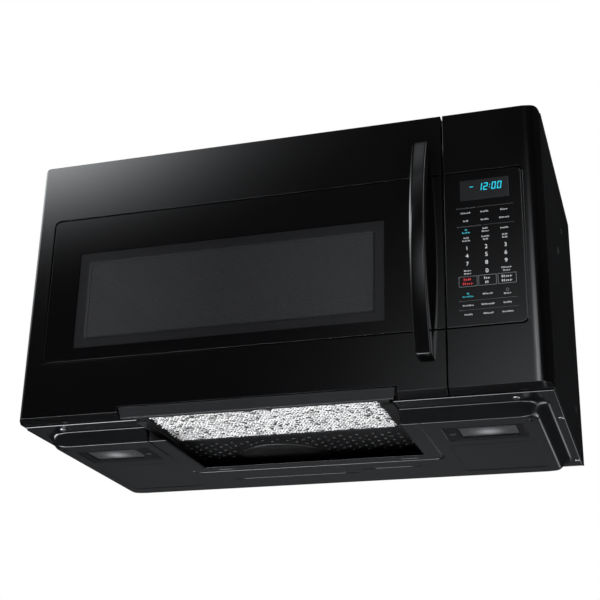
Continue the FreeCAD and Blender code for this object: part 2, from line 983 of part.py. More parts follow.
def exhaust_area():
    y1 = back_y - exhaust_from_rear
    return (tray_x - exhaust_width / 2, tray_x + exhaust_width / 2, y1 - exhaust_depth, y1)


def gland_place():
    return (bay_right - 4 * gland_radius, back_y - 4 * gland_radius)


def back_plate():
    x0, x1 = -half_width + case_sheet + gap, half_width - case_sheet - gap
    body = block(x0, x1, back_y - sheet, back_y, rim_z + sheet, inner_top_z - gap)
    for x in (-wall_slot_spacing / 2, wall_slot_spacing / 2):
        body = body.cut(block(
            x - wall_slot_width / 2, x + wall_slot_width / 2, back_y - 2 * sheet, back_y + sheet,
            wall_slot_z, wall_slot_z + wall_slot_height,
        ))
    return body


def cord_gland():
    """Bushing in the top that the supply lead passes through."""
    gx, gy = gland_place()
    below = inner_top_z - 4 * gland_flange
    barrel = rod(gland_radius - gap / 2, (gx, gy, below), (0, 0, 1), top_z - below)
    collar = rod(gland_radius + gland_flange, (gx, gy, inner_top_z - gland_flange), (0, 0, 1), gland_flange)
    bore = rod(gland_radius - gland_flange, (gx, gy, below - past), (0, 0, 1), top_z)
    return barrel.fuse(collar).cut(bore)


def weld_nuts():
    """Two hexagon nuts under the top for the bolts from the cabinet above."""
    made = []
    radius = nut_across_flats / math.sqrt(3)
    y = front_y + cabinet_bolt_depth
    for x in (-cabinet_bolt_spacing / 2, cabinet_bolt_spacing / 2):
        corners = [
            (x + radius * math.cos(math.radians(60 * i)), y + radius * math.sin(math.radians(60 * i)), 0)
            for i in range(6)
        ]
        nut = plate_xy(corners, inner_top_z - nut_height, inner_top_z)
        below = inner_top_z - nut_height - past
        hole = rod(cabinet_bolt_radius, (x, y, below), (0, 0, 1), nut_height + 2 * past)
        made.append(nut.cut(hole))
    return grouped(made)


def screws():
    made = [screw(point, (0, 0, 1), screw_head_height) for point in base_screw_points]
    for point in case_screw_points:
        made.append(screw(point, (-math.copysign(1, point[0]), 0, 0), case_screw_head))
    return grouped(made)


# Base plate

def belly_loft(shrink, floor_z, rim_top_z):
    """Solid of the pressed belly, drawn in by shrink, between two heights."""
    low = rectangle(
        belly_left + shrink, belly_right - shrink,
        front_y + belly_front + shrink, back_y - belly_rear - shrink, belly_corner - shrink,
    )
    high = rectangle(
        -half_width + rim_width + shrink, half_width - rim_width - shrink,
        front_y + belly_rim_front + shrink, back_y - belly_rim_rear - shrink, belly_corner - shrink,
    )
    low_wire = rounded_wire(low, lambda u, v: Vector(u, v, floor_z))
    high_wire = rounded_wire(high, lambda u, v: Vector(u, v, rim_top_z))
    return Part.makeLoft([low_wire, high_wire], True, True)


def base_plate():
    """Pressed sheet: screw rim, belly, upturned flanges and the openings in its middle."""
    x0, x1 = -half_width + case_sheet + gap, half_width - case_sheet - gap
    y0, y1 = front_y + rim_front, back_y - sheet
    rim = block(x0, x1, y0, y1, rim_z, rim_z + sheet)
    flange_y0 = face_y + sheet
    flanges = [
        block(x0, x0 + sheet, flange_y0, y1, rim_z, rim_z + base_flange),
        block(x1 - sheet, x1, flange_y0, y1, rim_z, rim_z + base_flange),
        block(x0, x1, y1 - sheet, y1, rim_z, rim_z + base_flange),
    ]
    body = joined([rim, belly_loft(0, 0, rim_z)] + flanges)
    body = body.cut(belly_loft(sheet, sheet, rim_z + sheet))
    recess = block(
        recess_left, recess_right, front_y, front_y + recess_rear, -past, rim_z + sheet + past,
    )
    rim_gate = block(
        rail_left_x - rail_wall, rail_right_x + rail_wall, front_y,
        front_y + belly_front + belly_corner, sheet + past, rim_z + sheet + past,
    )
    body = body.cut(recess).cut(rim_gate)
    for side in (-1, 1):
        body = body.cut(plate_xy(lamp_outline(side, 0), -past, sheet + past))
    for point in base_screw_points:
        body = body.cut(screw_hole(point, (0, 0, 1)))
    return body


def intake_plate():
    """Perforated pan behind the filter: a plate on three walls that stand on the belly."""
    x0, x1 = rail_left_x - rail_wall, rail_right_x + rail_wall
    y0 = filter_rear_y + rail_clearance
    y1 = y0 + intake_length
    z1 = rim_z + 2 * rail_wall
    walls = [
        block(x0, x0 + sheet, y0, y1, sheet, z1),
        block(x1, x1 + sheet, y0, y1, sheet, z1),
        block(x0, x1 + sheet, y1 - sheet, y1, sheet, z1),
    ]
    body = joined([block(x0, x1 + sheet, y0, y1, z1 - sheet, z1)] + walls)
    dish_x, dish_y = intake_dish_centre()
    dish_low = z1 - sheet - intake_dish_depth
    slope = intake_dish_depth
    dish = Part.makeCone(
        intake_dish_radius - slope, intake_dish_radius, intake_dish_depth,
        Vector(dish_x, dish_y, dish_low), Vector(0, 0, 1),
    )
    hollow = Part.makeCone(
        intake_dish_radius - slope - sheet, intake_dish_radius - sheet, intake_dish_depth,
        Vector(dish_x, dish_y, dish_low + sheet), Vector(0, 0, 1),
    )
    body = body.fuse(dish).cut(hollow)
    holes = [rod(intake_hole_radius, (x, y, z1 - 2 * sheet), (0, 0, 1), 3 * sheet)
             for x, y in intake_holes()]
    return body.cut(holes)


def intake_dish_centre():
    rear_y = filter_rear_y + rail_clearance + intake_length
    return filter_centre_x + intake_dish_offset, rear_y - intake_dish_radius - intake_dish_margin


def intake_holes():
    """Staggered rows of holes in front of the dish and beside it."""
    y0 = filter_rear_y + rail_clearance + intake_first_row
    dish_x, dish_y = intake_dish_centre()
    reach = (filter_width - intake_hole_step) / 2
    places = []
    for row in range(intake_hole_rows):
        y = y0 + row * intake_row_step
        offset = 0.5 * intake_hole_step * (row % 2)
        count = int((2 * reach - offset) / intake_hole_step) + 1
        for i in range(count):
            x = filter_centre_x - reach + offset + i * intake_hole_step
            clear = math.hypot(x - dish_x, y - dish_y)
            if clear > intake_dish_radius + 3 * intake_hole_radius:
                places.append((x, y))
    return places


# Grease filter

def filter_rails():
    """Two angles that carry the filter frame; a skirt under each one closes the side of the belly."""
    y0, y1 = front_y + rail_front, filter_rear_y + rail_clearance
    ledge_z0 = rim_z - gap / 2 - rail_ledge_thickness
    z1 = rim_z + filter_height
    skirt_y0 = front_y + belly_front + sheet + gap
    made = []
    for x, side in ((rail_left_x, 1), (rail_right_x, -1)):
        web = sorted((x - side * rail_wall, x))
        ledge = sorted((x - side * rail_wall, x + side * (rail_ledge + rail_clearance)))
        made.append(joined([
            block(web[0], web[1], y0, y1, ledge_z0, z1),
            block(web[0], web[1], skirt_y0, y1, sheet, ledge_z0 + rail_ledge_thickness),
            block(ledge[0], ledge[1], y0, y1, ledge_z0, ledge_z0 + rail_ledge_thickness),
        ]))
    return grouped(made)


def filter_opening():
    return (
        filter_left + filter_border, filter_right - filter_border,
        filter_front_y + filter_front_border, filter_rear_y - filter_rear_border,
    )


def filter_frame():
    body = block(filter_left, filter_right, filter_front_y, filter_rear_y, rim_z, filter_top_z)
    x0, x1, y0, y1 = filter_opening()
    lip = filter_lip
    through = block(x0 + lip, x1 - lip, y0 + lip, y1 - lip, rim_z - past, filter_top_z + past)
    seat = block(x0, x1, y0, y1, rim_z + sheet, filter_top_z + past)
    return body.cut(through).cut(seat)


def filter_mesh():
    x0, x1, y0, y1 = filter_opening()
    z0 = rim_z + sheet
    return block(x0 + gap, x1 - gap, y0 + gap, y1 - gap, z0, z0 + filter_pad)


def filter_pull():
    """Front bar of the filter, with a sloped face and slanted ends."""
    top_y = front_y - pull_proud
    low_y = top_y + pull_slope
    side = [
        (top_y, pull_top_z, pull_round), (low_y, pull_low_z, pull_round),
        (filter_front_y, pull_low_z, 0), (filter_front_y, pull_top_z, 0),
    ]
    bar = plate_yz(side, pull_left, pull_right)
    outline = [
        (pull_left, pull_top_z, 0), (pull_left + pull_end_slant, pull_low_z, 0),
        (pull_right - pull_end_slant, pull_low_z, 0), (pull_right, pull_top_z, 0),
    ]
    return bar.common(plate_xz(outline, top_y - past, filter_front_y + past))


# Cooktop lamps

def lamp_outline(side, grow):
    """Outline of the lamp cover on one side of the middle, grown by so much all round."""
    x0, x1 = sorted((side * lamp_inner_x, side * lamp_outer_x))
    half = lamp_width / 2 + grow
    return rectangle(x0 - grow, x1 + grow, lamp_y - half, lamp_y + half, lamp_round)


def lens_outline(side, grow):
    """Outline of the lens, which sits towards the outer end of its cover."""
    x0, x1 = sorted((side * lens_inner_x, side * lens_outer_x))
    half = lens_width / 2 + grow
    return rectangle(x0 - grow, x1 + grow, lens_y - half, lens_y + half, lens_round)


def lamp_covers():
    made = []
    top = sheet + lamp_cover_height
    for side in (-1, 1):
        body = plate_xy(lamp_outline(side, -gap), gap, top)
        body = body.fuse(plate_xy(lamp_outline(side, lamp_flange), sheet, top))
        made.append(body.cut(plate_xy(lens_outline(side, 0), gap - past, top + past)))
    return grouped(made)


def lamp_lenses():
    return grouped([
        plate_xy(lens_outline(side, -gap / 4), 2 * gap, 2 * gap + lens_thickness) for side in (-1, 1)
    ])


def lamp_sockets():
    """Holders that stand on the covers, at the inner end of each lens."""
    made = []
    floor = sheet + lamp_cover_height
    half = socket_width / 2
    for side in (-1, 1):
        face_x = side * (lens_inner_x - gap)
        x0, x1 = sorted((face_x, face_x - side * socket_length))
        body = block(x0, x1, lens_y - half, lens_y + half, floor, bulb_z + socket_above_bulb)
        hole = rod(bulb_radius / 2, (face_x + side, lens_y, bulb_z), (-side, 0, 0), socket_length * 0.6)
        made.append(body.cut(hole))
    return grouped(made)


def lamp_bulbs():
    made = []
    stem = bulb_radius / 2 - running_gap
    for side in (-1, 1):
        start = side * (lens_inner_x - gap)
        cap = rod(stem, (start, lens_y, bulb_z), (-side, 0, 0), socket_length * 0.5)
        neck = rod(stem, (start, lens_y, bulb_z), (side, 0, 0), gap)
        glass = rod(bulb_radius, (start + side * gap, lens_y, bulb_z), (side, 0, 0), bulb_length)
        end = Part.makeSphere(bulb_radius, Vector(start + side * (gap + bulb_length), lens_y, bulb_z))
        made.append(joined([cap, neck, glass, end]))
    return grouped(made)


# Cavity, face plate and turntable

def face_plate():
    """Front sheet of the body, open for the cavity, the latch hooks and the filter."""
    x0 = -half_width + case_sheet + gap
    x1 = panel_left + 6 * skin_wall
    z0, z1 = rim_z + sheet, inner_top_z - vent_height - charcoal_height - gap
    y0, y1 = face_y, face_y + sheet
    body = block(x0, x1, y0, y1, z0, z1)
    tools = [
        block(cavity_left, cavity_right, y0 - past, y1 + past, cavity_floor_z, cavity_top_z),
        block(rail_left_x - rail_wall, rail_right_x + rail_wall, y0 - past, y1 + past, z0 - past, sill_z),
    ]
    for sx0, sx1, sz0, sz1 in hook_slots():
        tools.append(block(sx0, sx1, y0 - past, y1 + past, sz0, sz1))
    return body.cut(tools)


def cavity_box():
    outer = block(
        cavity_left - sheet, cavity_right + sheet, cavity_front_y, cavity_rear_y + sheet,
        cavity_floor_z - sheet, cavity_top_z + sheet,
    )
    inner = block(
        cavity_left, cavity_right, cavity_front_y - past, cavity_rear_y, cavity_floor_z, cavity_top_z,
    )
    wx0, wx1, wy0, wy1, wz0, wz1 = waveguide_mouth()
    mouth = block(wx0, wx1, wy0, wy1, wz0, wz1)
    shaft_hole = rod(
        2 * motor_shaft_radius, (tray_x, tray_y, cavity_floor_z - 2 * sheet), (0, 0, 1), 3 * sheet,
    )
    lamp_hole = rod(
        bulb_radius, (cavity_right - past, cavity_lamp_y(), cavity_lamp_z()), (1, 0, 0), sheet + 2 * past,
    )
    return outer.cut([inner, mouth, shaft_hole, lamp_hole])


def cavity_lamp_y():
    return front_y + waveguide_front - 3 * bulb_radius


def cavity_lamp_z():
    return cavity_top_z - 4 * bulb_radius


def cavity_lamp():
    """Lamp in its holder on the outside of the cavity's right wall."""
    x0 = cavity_right + sheet
    y, z = cavity_lamp_y(), cavity_lamp_z()
    bulb = rod(bulb_radius - gap, (x0, y, z), (1, 0, 0), bulb_length * 0.6)
    size = 2 * bulb_radius
    holder = block(x0 + bulb_length * 0.6, x0 + bulb_length, y - size, y + size, z - size, z + size)
    foot = block(x0, x0 + bulb_length, y - size, y - size + 2 * sheet, z - size, z + size)
    return joined([bulb, holder, foot])


def waveguide_mouth():
    """Opening in the right wall of the cavity that the waveguide feeds."""
    y0 = front_y + waveguide_front + 2 * sheet
    y1 = front_y + waveguide_front + waveguide_depth - 2 * sheet
    z0 = waveguide_low_z + 2 * sheet
    return (cavity_right - past, cavity_right + 2 * sheet, y0, y1, z0, z0 + waveguide_height / 2)


def waveguide():
    x0, x1 = bay_left, bay_left + waveguide_width
    y0, y1 = front_y + waveguide_front, front_y + waveguide_front + waveguide_depth
    z0, z1 = waveguide_low_z, waveguide_low_z + waveguide_height
    body = block(x0, x1, y0, y1, z0, z1)
    hollow = block(x0 - past, x1 - sheet, y0 + sheet, y1 - sheet, z0 + sheet, z1 - sheet)
    hole = rod(antenna_radius + gap, magnetron_seat(), (-1, 0, 0), 2 * sheet)
    return body.cut(hollow).cut(hole)


def magnetron_seat():
    """Point on the waveguide's outer face where the antenna passes."""
    return (
        bay_left + waveguide_width, front_y + waveguide_front + waveguide_depth / 2,
        waveguide_low_z + waveguide_height - magnetron_height / 2 - antenna_radius,
    )


def waveguide_cover():
    """Mica sheet over the mouth, inside the cavity."""
    _, _, y0, y1, z0, z1 = waveguide_mouth()
    margin = 4 * sheet
    return block(cavity_right - sheet, cavity_right, y0 - margin, y1 + margin, z0 - margin, z1 + margin)


def magnetron():
    x, y, z = magnetron_seat()
    half_w, half_h = magnetron_width / 2, magnetron_height / 2
    plate = magnetron_plate
    flange = block(x, x + plate, y - half_w, y + half_w, z - half_h, z + half_h)
    far = block(
        x + magnetron_length - plate, x + magnetron_length, y - half_w, y + half_w, z - half_h, z + half_h,
    )
    core = rod(antenna_radius * 2.2, (x, y, z), (1, 0, 0), magnetron_length)
    antenna = rod(antenna_radius, (x, y, z), (-1, 0, 0), antenna_reach)
    pitch = (magnetron_length - plate) / (magnetron_fins + 1)
    fins = [
        block(x + (i + 1) * pitch, x + (i + 1) * pitch + sheet, y - half_w + plate, y + half_w - plate,
              z - half_h, z + half_h)
        for i in range(magnetron_fins)
    ]
    yoke = [
        block(x, x + magnetron_length, y - half_w, y + half_w, z0, z0 + magnetron_yoke)
        for z0 in (z - half_h - magnetron_yoke, z + half_h)
    ]
    return joined([flange, far, core, antenna] + fins + yoke)


def bay_floor_z():
    return rim_z + sheet


def transformer_tray():
    """Bracket (x0, x1, y0, y1) over the belly that the heavy parts stand on."""
    x0 = bay_left + chassis_inset
    y0 = front_y + waveguide_front
    return (x0, bay_right - 2 * sheet - gap, y0, y0 + transformer_depth + 3 * capacitor_thickness)


def chassis_plate():
    """Floor of the bay: sheet with a folded foot on each side, standing on the belly."""
    x0, x1, y0, y1 = transformer_tray()
    z1 = bay_floor_z() + base_flange
    top = block(x0, x1, y0, y1, z1, z1 + sheet)
    inner_foot = block(x0, x0 + sheet, y0, y1, sheet, z1)
    foot_x = belly_right - belly_corner
    outer_foot = block(foot_x - sheet, foot_x, y0, y1, sheet, z1)
    return joined([top, inner_foot, outer_foot])


def hv_transformer():
    x0, _, y0, _ = transformer_tray()
    z0 = bay_floor_z() + base_flange + sheet
    half_w, half_d = transformer_width / 2, transformer_depth / 2
    cx, cy = x0 + half_w + transformer_foot, y0 + half_d + transformer_front_room
    leg = transformer_width / 4
    coil_y = half_d - transformer_coil
    core = block(cx - half_w, cx + half_w, cy - coil_y, cy + coil_y, z0, z0 + transformer_height)
    window_z = transformer_height / 4
    coils = [
        plate_xz(rectangle(cx - half_w + leg / 2, cx + half_w - leg / 2,
                           z0 + window_z, z0 + transformer_height - window_z,
                           transformer_coil_round), front, rear)
        for front, rear in ((cy - half_d, cy - coil_y), (cy + coil_y, cy + half_d))
    ]
    foot_x = half_w + transformer_foot
    foot = block(
        cx - foot_x, cx + foot_x, cy - coil_y, cy + coil_y, z0, z0 + transformer_foot_thickness,
    )
    return joined([core, foot] + coils)


def hv_capacitor():
    """Oval can with two terminals."""
    x0, _, _, y1 = transformer_tray()
    z0 = bay_floor_z() + base_flange + sheet
    half_t, half_w = capacitor_thickness / 2, capacitor_width / 2
    cx, cy = x0 + half_w + capacitor_side_room, y1 - half_t - capacitor_rear_room
    outline = rectangle(cx - half_w, cx + half_w, cy - half_t, cy + half_t, half_t - gap)
    top = z0 + capacitor_height
    tabs = []
    for side in (-1, 1):
        x = cx + side * terminal_spacing / 2
        tabs.append(block(
            x - terminal_width / 2, x + terminal_width / 2, cy - sheet / 2, cy + sheet / 2,
            top, top + terminal_height,
        ))
    return joined([plate_xy(outline, z0, top)] + tabs)


def hv_diode():
    """Diode lying on the bay floor beside the capacitor, with its earth tag."""
    x0, _, _, y1 = transformer_tray()
    z0 = bay_floor_z() + base_flange + sheet
    y = y1 - 2 * diode_radius - capacitor_rear_room
    start = x0 + capacitor_width + diode_side_room
    end = start + diode_lead_length
    body = rod(diode_radius, (start, y, z0 + diode_radius), (1, 0, 0), diode_length)
    lead = rod(diode_lead_radius, (start, y, z0 + diode_radius), (1, 0, 0), diode_lead_length)
    tag = block(
        end - diode_tag / 2, end + diode_tag / 2, y - diode_radius, y + diode_radius,
        z0, z0 + diode_radius + diode_lead_radius,
    )
    return joined([body, lead, tag])


def fan_centre():
    return ((bay_left + bay_right) / 2, back_y - fan_from_rear, fan_z)


def fan_shroud():
    """Plate across the bay with a round throat for the blades and a cross that holds the motor."""
    x, y, z = fan_centre()
    size = fan_radius + fan_plate_margin
    plate_y = y - fan_depth / 2
    inner = fan_radius + fan_tip_gap
    body = block(bay_left, x + size, plate_y, plate_y + 2 * sheet, z - size, z + size)
    throat = tube(inner + fan_throat_wall, inner, (x, plate_y, z), (0, 1, 0), fan_depth)
    opening = rod(inner, (x, plate_y - past, z), (0, 1, 0), fan_depth + 2 * past)
    cross_y = fan_cross_y()
    half = fan_arm / 2
    rear_y = cross_y + fan_arm_thickness
    arms = [
        block(x - size, x + size, cross_y, rear_y, z - half, z + half),
        block(x - half, x + half, cross_y, rear_y, z - size, z + size),
    ]
    posts = [
        block(x + dx - half, x + dx + half, plate_y, rear_y, z + dz - half, z + dz + half)
        for dx, dz in ((-size + half, 0), (size - half, 0), (0, -size + half), (0, size - half))
    ]
    shaft_way = rod(
        fan_shaft_radius + 2 * sheet, (x, cross_y - past, z), (0, 1, 0), fan_arm_thickness + 2 * past,
    )
    return joined([body, throat] + posts).cut(opening).multiFuse(arms).cut(shaft_way)


def fan_cross_y():
    return fan_centre()[1] + fan_depth / 2 + fan_arm_gap


def cooling_fan():
    """Axial fan: hub, pitched blades and the shaft that the motor turns."""
    x, y, z = fan_centre()
    hub = rod(fan_hub_radius, (x, y - fan_depth / 2, z), (0, 1, 0), fan_depth)
    half, thin = fan_blade_width / 2, fan_blade_thickness / 2
    blades = []
    for i in range(fan_blades):
        blade = block(-half, half, -thin, thin, fan_hub_radius * 0.8, fan_radius)
        blade.rotate(Vector(0, 0, 0), Vector(0, 0, 1), fan_blade_pitch)
        blade.rotate(Vector(0, 0, 0), Vector(0, 1, 0), 360.0 * i / fan_blades)
        blade.translate(Vector(x, y, z))
        blades.append(blade)
    reach = fan_cross_y() + fan_arm_thickness + fan_motor_depth / 3 - y
    shaft = rod(fan_shaft_radius, (x, y, z), (0, 1, 0), reach)
    return joined([hub, shaft] + blades)


def fan_motor():
    x, _, z = fan_centre()
    half = fan_motor_size / 2
    y0 = fan_cross_y() + fan_arm_thickness
    core = block(x - half, x + half, y0, y0 + fan_motor_depth, z - half, z + half)
    coil = block(
        x - half * 0.6, x + half * 0.6, y0, y0 + fan_coil_depth, z - half - fan_coil_height, z - half,
    )
    bore = rod(fan_shaft_radius + running_gap, (x, y0 - past, z), (0, 1, 0), fan_motor_depth * 0.7)
    return joined([core, coil]).cut(bore)


def turntable_motor():
    """Flat gear motor under the cavity floor, with its shaft up through the floor."""
    z1 = cavity_floor_z - sheet
    can = rod(motor_radius, (tray_x, tray_y, z1 - motor_height), (0, 0, 1), motor_height)
    reach = motor_radius + motor_ear
    half = motor_ear_width / 2
    ears = block(tray_x - reach, tray_x + reach, tray_y - half, tray_y + half, z1 - 2 * sheet, z1)
    return joined([can, ears])


def turntable_coupler():
    """Drive shaft and three-armed hub that turns the tray."""
    z0 = cavity_floor_z - sheet + gap
    shaft = rod(motor_shaft_radius, (tray_x, tray_y, z0), (0, 0, 1), roller_z - z0)
    hub_z = cavity_floor_z + 3 * gap
    hub_top = tray_z - gap
    hub = rod(coupler_radius * 0.6, (tray_x, tray_y, hub_z), (0, 0, 1), hub_top - hub_z)
    arms = []
    half = coupler_arm_width / 2
    for i in range(roller_count):
        arm = block(0, coupler_arm, -half, half, hub_z, hub_top)
        arm.rotate(Vector(0, 0, 0), Vector(0, 0, 1), 360.0 * i / roller_count)
        arm.translate(Vector(tray_x, tray_y, 0))
        arms.append(arm)
    return joined([shaft, hub] + arms)


def glass_tray():
    """Shallow glass dish with an upturned rim and drive lugs below, one between each two arms."""
    flat = tray_radius - tray_slope_run
    low, high, rim = tray_z, tray_z + tray_thickness, tray_z + tray_rim
    outline = [
        Vector(0, 0, low), Vector(flat, 0, low),
        Vector(tray_radius - tray_rim_bevel, 0, rim - tray_thickness),
        Vector(tray_radius, 0, rim - tray_thickness / 2), Vector(tray_radius, 0, rim),
        Vector(tray_radius - tray_rim_wall, 0, rim),
        Vector(flat - tray_thickness / 2, 0, high), Vector(0, 0, high),
    ]
    face = Part.Face(Part.makePolygon(outline + [outline[0]]))
    dish = face.revolve(Vector(0, 0, 0), Vector(0, 0, 1), 360)
    lugs = []
    for i in range(roller_count):
        lug_x = coupler_arm - tray_lug_inset
        lug = rod(tray_lug_radius, (lug_x, 0, -ring_height), (0, 0, 1), ring_height + past)
        lug.rotate(Vector(0, 0, 0), Vector(0, 0, 1), 360.0 * (i + 0.5) / roller_count)
        lug.translate(Vector(0, 0, low))
        lugs.append(lug)
    tray = joined([dish] + lugs)
    tray.translate(Vector(tray_x, tray_y, 0))
    return tray


def roller_way(index):
    """Direction of a roller's axle, out from the middle of the turntable."""
    angle = math.radians(360.0 * index / roller_count + roller_first_angle)
    return (math.cos(angle), math.sin(angle), 0)


def roller_ring():
    """Ring with radial axles that the rollers run on."""
    inner = roller_track - roller_width / 2 - roller_ring_gap - ring_width
    ring = tube(
        inner + ring_width, inner, (tray_x, tray_y, roller_z - ring_height / 2), (0, 0, 1), ring_height,
    )
    axles = []
    for i in range(roller_count):
        way = roller_way(i)
        start = (tray_x + way[0] * inner, tray_y + way[1] * inner, roller_z)
        reach = roller_track + roller_width / 2 + roller_side_gap - inner
        axles.append(rod(roller_axle_radius, start, way, reach))
        head = (start[0] + way[0] * reach, start[1] + way[1] * reach, roller_z)
        axles.append(rod(roller_axle_radius * 1.6, head, way, roller_axle_head))
    return joined([ring] + axles)


def roller(index):
    way = roller_way(index)
    inside = roller_track - roller_width / 2
    start = (tray_x + way[0] * inside, tray_y + way[1] * inside, roller_z)
    return tube(roller_radius, roller_axle_radius + running_gap, start, way, roller_width)


# Hood air path

def vent_grille():
    """Slotted strip in the top, ahead of the cabinet above, where the hood air leaves."""
    x0, x1, y0, y1 = vent_area()
    inside = block(x0 + gap, x1 - gap, y0 + gap, y1 - gap, inner_top_z - vent_height, top_z)
    flange = block(
        x0 - vent_bar, x1 + vent_bar, y0 + gap, y1 + vent_bar, inner_top_z - vent_height, inner_top_z,
    )
    body = inside.fuse(flange)
    pitch = (vent_width - vent_bar) / vent_slots
    slots = [
        block(x0 + vent_bar + i * pitch, x0 + (i + 1) * pitch, y0 + vent_bar, y1 - vent_bar,
              inner_top_z - vent_height - past, top_z + past)
        for i in range(vent_slots)
    ]
    return body.cut(slots)


def charcoal_filter():
    x0, x1, y0, y1 = vent_area()
    cx = (x0 + x1) / 2
    z1 = inner_top_z - vent_height
    return block(
        cx - charcoal_width / 2, cx + charcoal_width / 2, y0 + vent_bar, y1 - gap,
        z1 - charcoal_height, z1,
    )


def exhaust_cover():
    """Plate under the unused outlet in the top."""
    x0, x1, y0, y1 = exhaust_area()
    margin = exhaust_margin
    lid = block(x0 + gap, x1 - gap, y0 + gap, y1 - gap, inner_top_z - sheet, top_z - gap)
    plate = block(x0 - margin, x1 + margin, y0 - margin, y1 + margin, inner_top_z - sheet, inner_top_z)
    return lid.fuse(plate)


def blower_centre():
    z = cavity_top_z + sheet + 2 * sheet + scroll_gap + wheel_radius
    return (tray_x, back_y - blower_from_rear, z)


def blower_housing():
    """Two scrolls on a common floor, each with round inlets and an outlet to the front."""
    x, y, z = blower_centre()
    wall = scroll_wall
    radius = wheel_radius + scroll_gap
    half_motor = blower_motor_length / 2
    floor_z = cavity_top_z + sheet
    made = []
    for side in (-1, 1):
        inner_x = x + side * (half_motor + scroll_gap)
        outer_x = inner_x + side * (wheel_length + 2 * scroll_gap)
        x0, x1 = sorted((inner_x, outer_x))
        drum = rod(radius, (x0, y, z), (1, 0, 0), x1 - x0)
        duct = block(x0, x1, y - 2.2 * radius, y, z, z + radius)
        hollow = rod(radius - wall, (x0 + wall, y, z), (1, 0, 0), x1 - x0 - 2 * wall)
        duct_room = block(x0 + wall, x1 - wall, y - 2.2 * radius - past, y, z + wall, z + radius - wall)
        inlets = rod(wheel_radius * 0.72, (x0 - past, y, z), (1, 0, 0), x1 - x0 + 2 * past)
        foot = block(x0, x1, y - radius / 2, y + radius / 2, floor_z, z - radius * 0.7)
        body = joined([drum, duct, foot.cut(drum)])
        made.append(body.cut([hollow, duct_room, inlets]))
    saddle_x = half_motor + scroll_gap
    half = blower_saddle / 2
    saddle = block(x - saddle_x, x + saddle_x, y - half, y + half, floor_z, z - blower_motor_radius)
    return joined(made + [saddle])


def blower_motor():
    x, y, z = blower_centre()
    half = blower_motor_length / 2
    can = rod(blower_motor_radius, (x - half, y, z), (1, 0, 0), blower_motor_length)
    bore_radius = blower_shaft_radius + running_gap
    bore = rod(bore_radius, (x - half - past, y, z), (1, 0, 0), blower_motor_length + 2 * past)
    low, side = z - blower_motor_radius, blower_saddle / 2
    foot = block(x - half, x + half, y - side, y + side, low, low + blower_foot_height)
    return joined([can, foot]).cut(bore)


def blower_rotor():
    """Shaft with a bladed wheel at each end."""
    x, y, z = blower_centre()
    reach = blower_motor_length / 2 + 2 * scroll_gap + wheel_length
    parts = [rod(blower_shaft_radius, (x - reach, y, z), (1, 0, 0), 2 * reach)]
    ring = wheel_ring_length
    half = wheel_blade_thickness / 2
    blade_foot = wheel_radius - wheel_ring + wheel_blade_inset
    blade_tip = wheel_radius - wheel_blade_inset
    for side in (-1, 1):
        inner = x + side * (blower_motor_length / 2 + 2 * scroll_gap)
        x0, x1 = sorted((inner, inner + side * wheel_length))
        hub_x = (x0 + x1 - ring) / 2
        parts.append(rod(wheel_radius - 2 * wheel_blade_inset, (hub_x, y, z), (1, 0, 0), ring))
        for start in (x0, x1 - ring):
            parts.append(tube(wheel_radius, wheel_radius - wheel_ring, (start, y, z), (1, 0, 0), ring))
        for i in range(wheel_blades):
            blade = block(x0, x1, -half, half, blade_foot, blade_tip)
            blade.rotate(Vector(0, 0, 0), Vector(1, 0, 0), 360.0 * i / wheel_blades)
            blade.translate(Vector(0, y, z))
            parts.append(blade)
    return joined(parts)


def build_nodes():
    nodes = {
        "cabinet_shell": cabinet_shell(),
        "back_plate": back_plate(),
        "base_plate": base_plate(),
        "face_plate": face_plate(),
        "cavity_box": cavity_box(),
        "cavity_lamp": cavity_lamp(),
        "waveguide": waveguide(),
        "waveguide_cover": waveguide_cover(),
        "magnetron": magnetron(),
        "chassis_plate": chassis_plate(),
        "hv_transformer": hv_transformer(),
        "hv_capacitor": hv_capacitor(),
        "hv_diode": hv_diode(),
        "fan_shroud": fan_shroud(),
        "fan_motor": fan_motor(),
        "cooling_fan": cooling_fan(),
        "turntable_motor": turntable_motor(),
        "turntable_coupler": turntable_coupler(),
        "glass_tray": glass_tray(),
        "roller_ring": roller_ring(),
        "intake_plate": intake_plate(),
        "filter_rails": filter_rails(),
        "filter_frame": filter_frame(),
        "filter_mesh": filter_mesh(),
        "filter_pull": filter_pull(),
        "lamp_covers": lamp_covers(),
        "lamp_lenses": lamp_lenses(),
        "lamp_sockets": lamp_sockets(),
        "lamp_bulbs": lamp_bulbs(),
        "vent_grille": vent_grille(),
        "charcoal_filter": charcoal_filter(),
        "exhaust_cover": exhaust_cover(),
        "blower_housing": blower_housing(),
        "blower_motor": blower_motor(),
        "blower_rotor": blower_rotor(),
        "cord_gland": cord_gland(),
        "weld_nuts": weld_nuts(),
        "screws": screws(),
        "control_frame": control_frame(),
        "control_overlay": control_overlay(),
        "display_window": display_window(),
        "display_module": display_module(),
        "control_board": control_board(),
        "latch_bracket": latch_bracket(),
        "interlock_switches": interlock_switches(),
        "hinge_brackets": hinge_brackets(),
        "hinge_pins": hinge_pins(),
        "door_frame": door_frame(),
        "door_glass": door_glass(),
        "door_screen": door_screen(),
        "door_choke": door_choke(),
        "choke_cover": choke_cover(),
        "door_inner_glass": door_inner_glass(),
        "door_handle": door_handle(),
        "handle_screws": handle_screws(),
        "latch_hooks": latch_hooks(),
        "latch_spring": latch_spring(),
    }
    for index in range(roller_count):
        nodes["roller_%d" % (index + 1)] = roller(index)
    return nodes


def main():
    os.makedirs("parts", exist_ok=True)
    for name, shape in build_nodes().items():
        shape.exportStep(os.path.join("parts", name + ".step"))
        print("%-20s solids %2d  valid %s" % (name, len(shape.Solids), shape.isValid()))


main()
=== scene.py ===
import json
import math

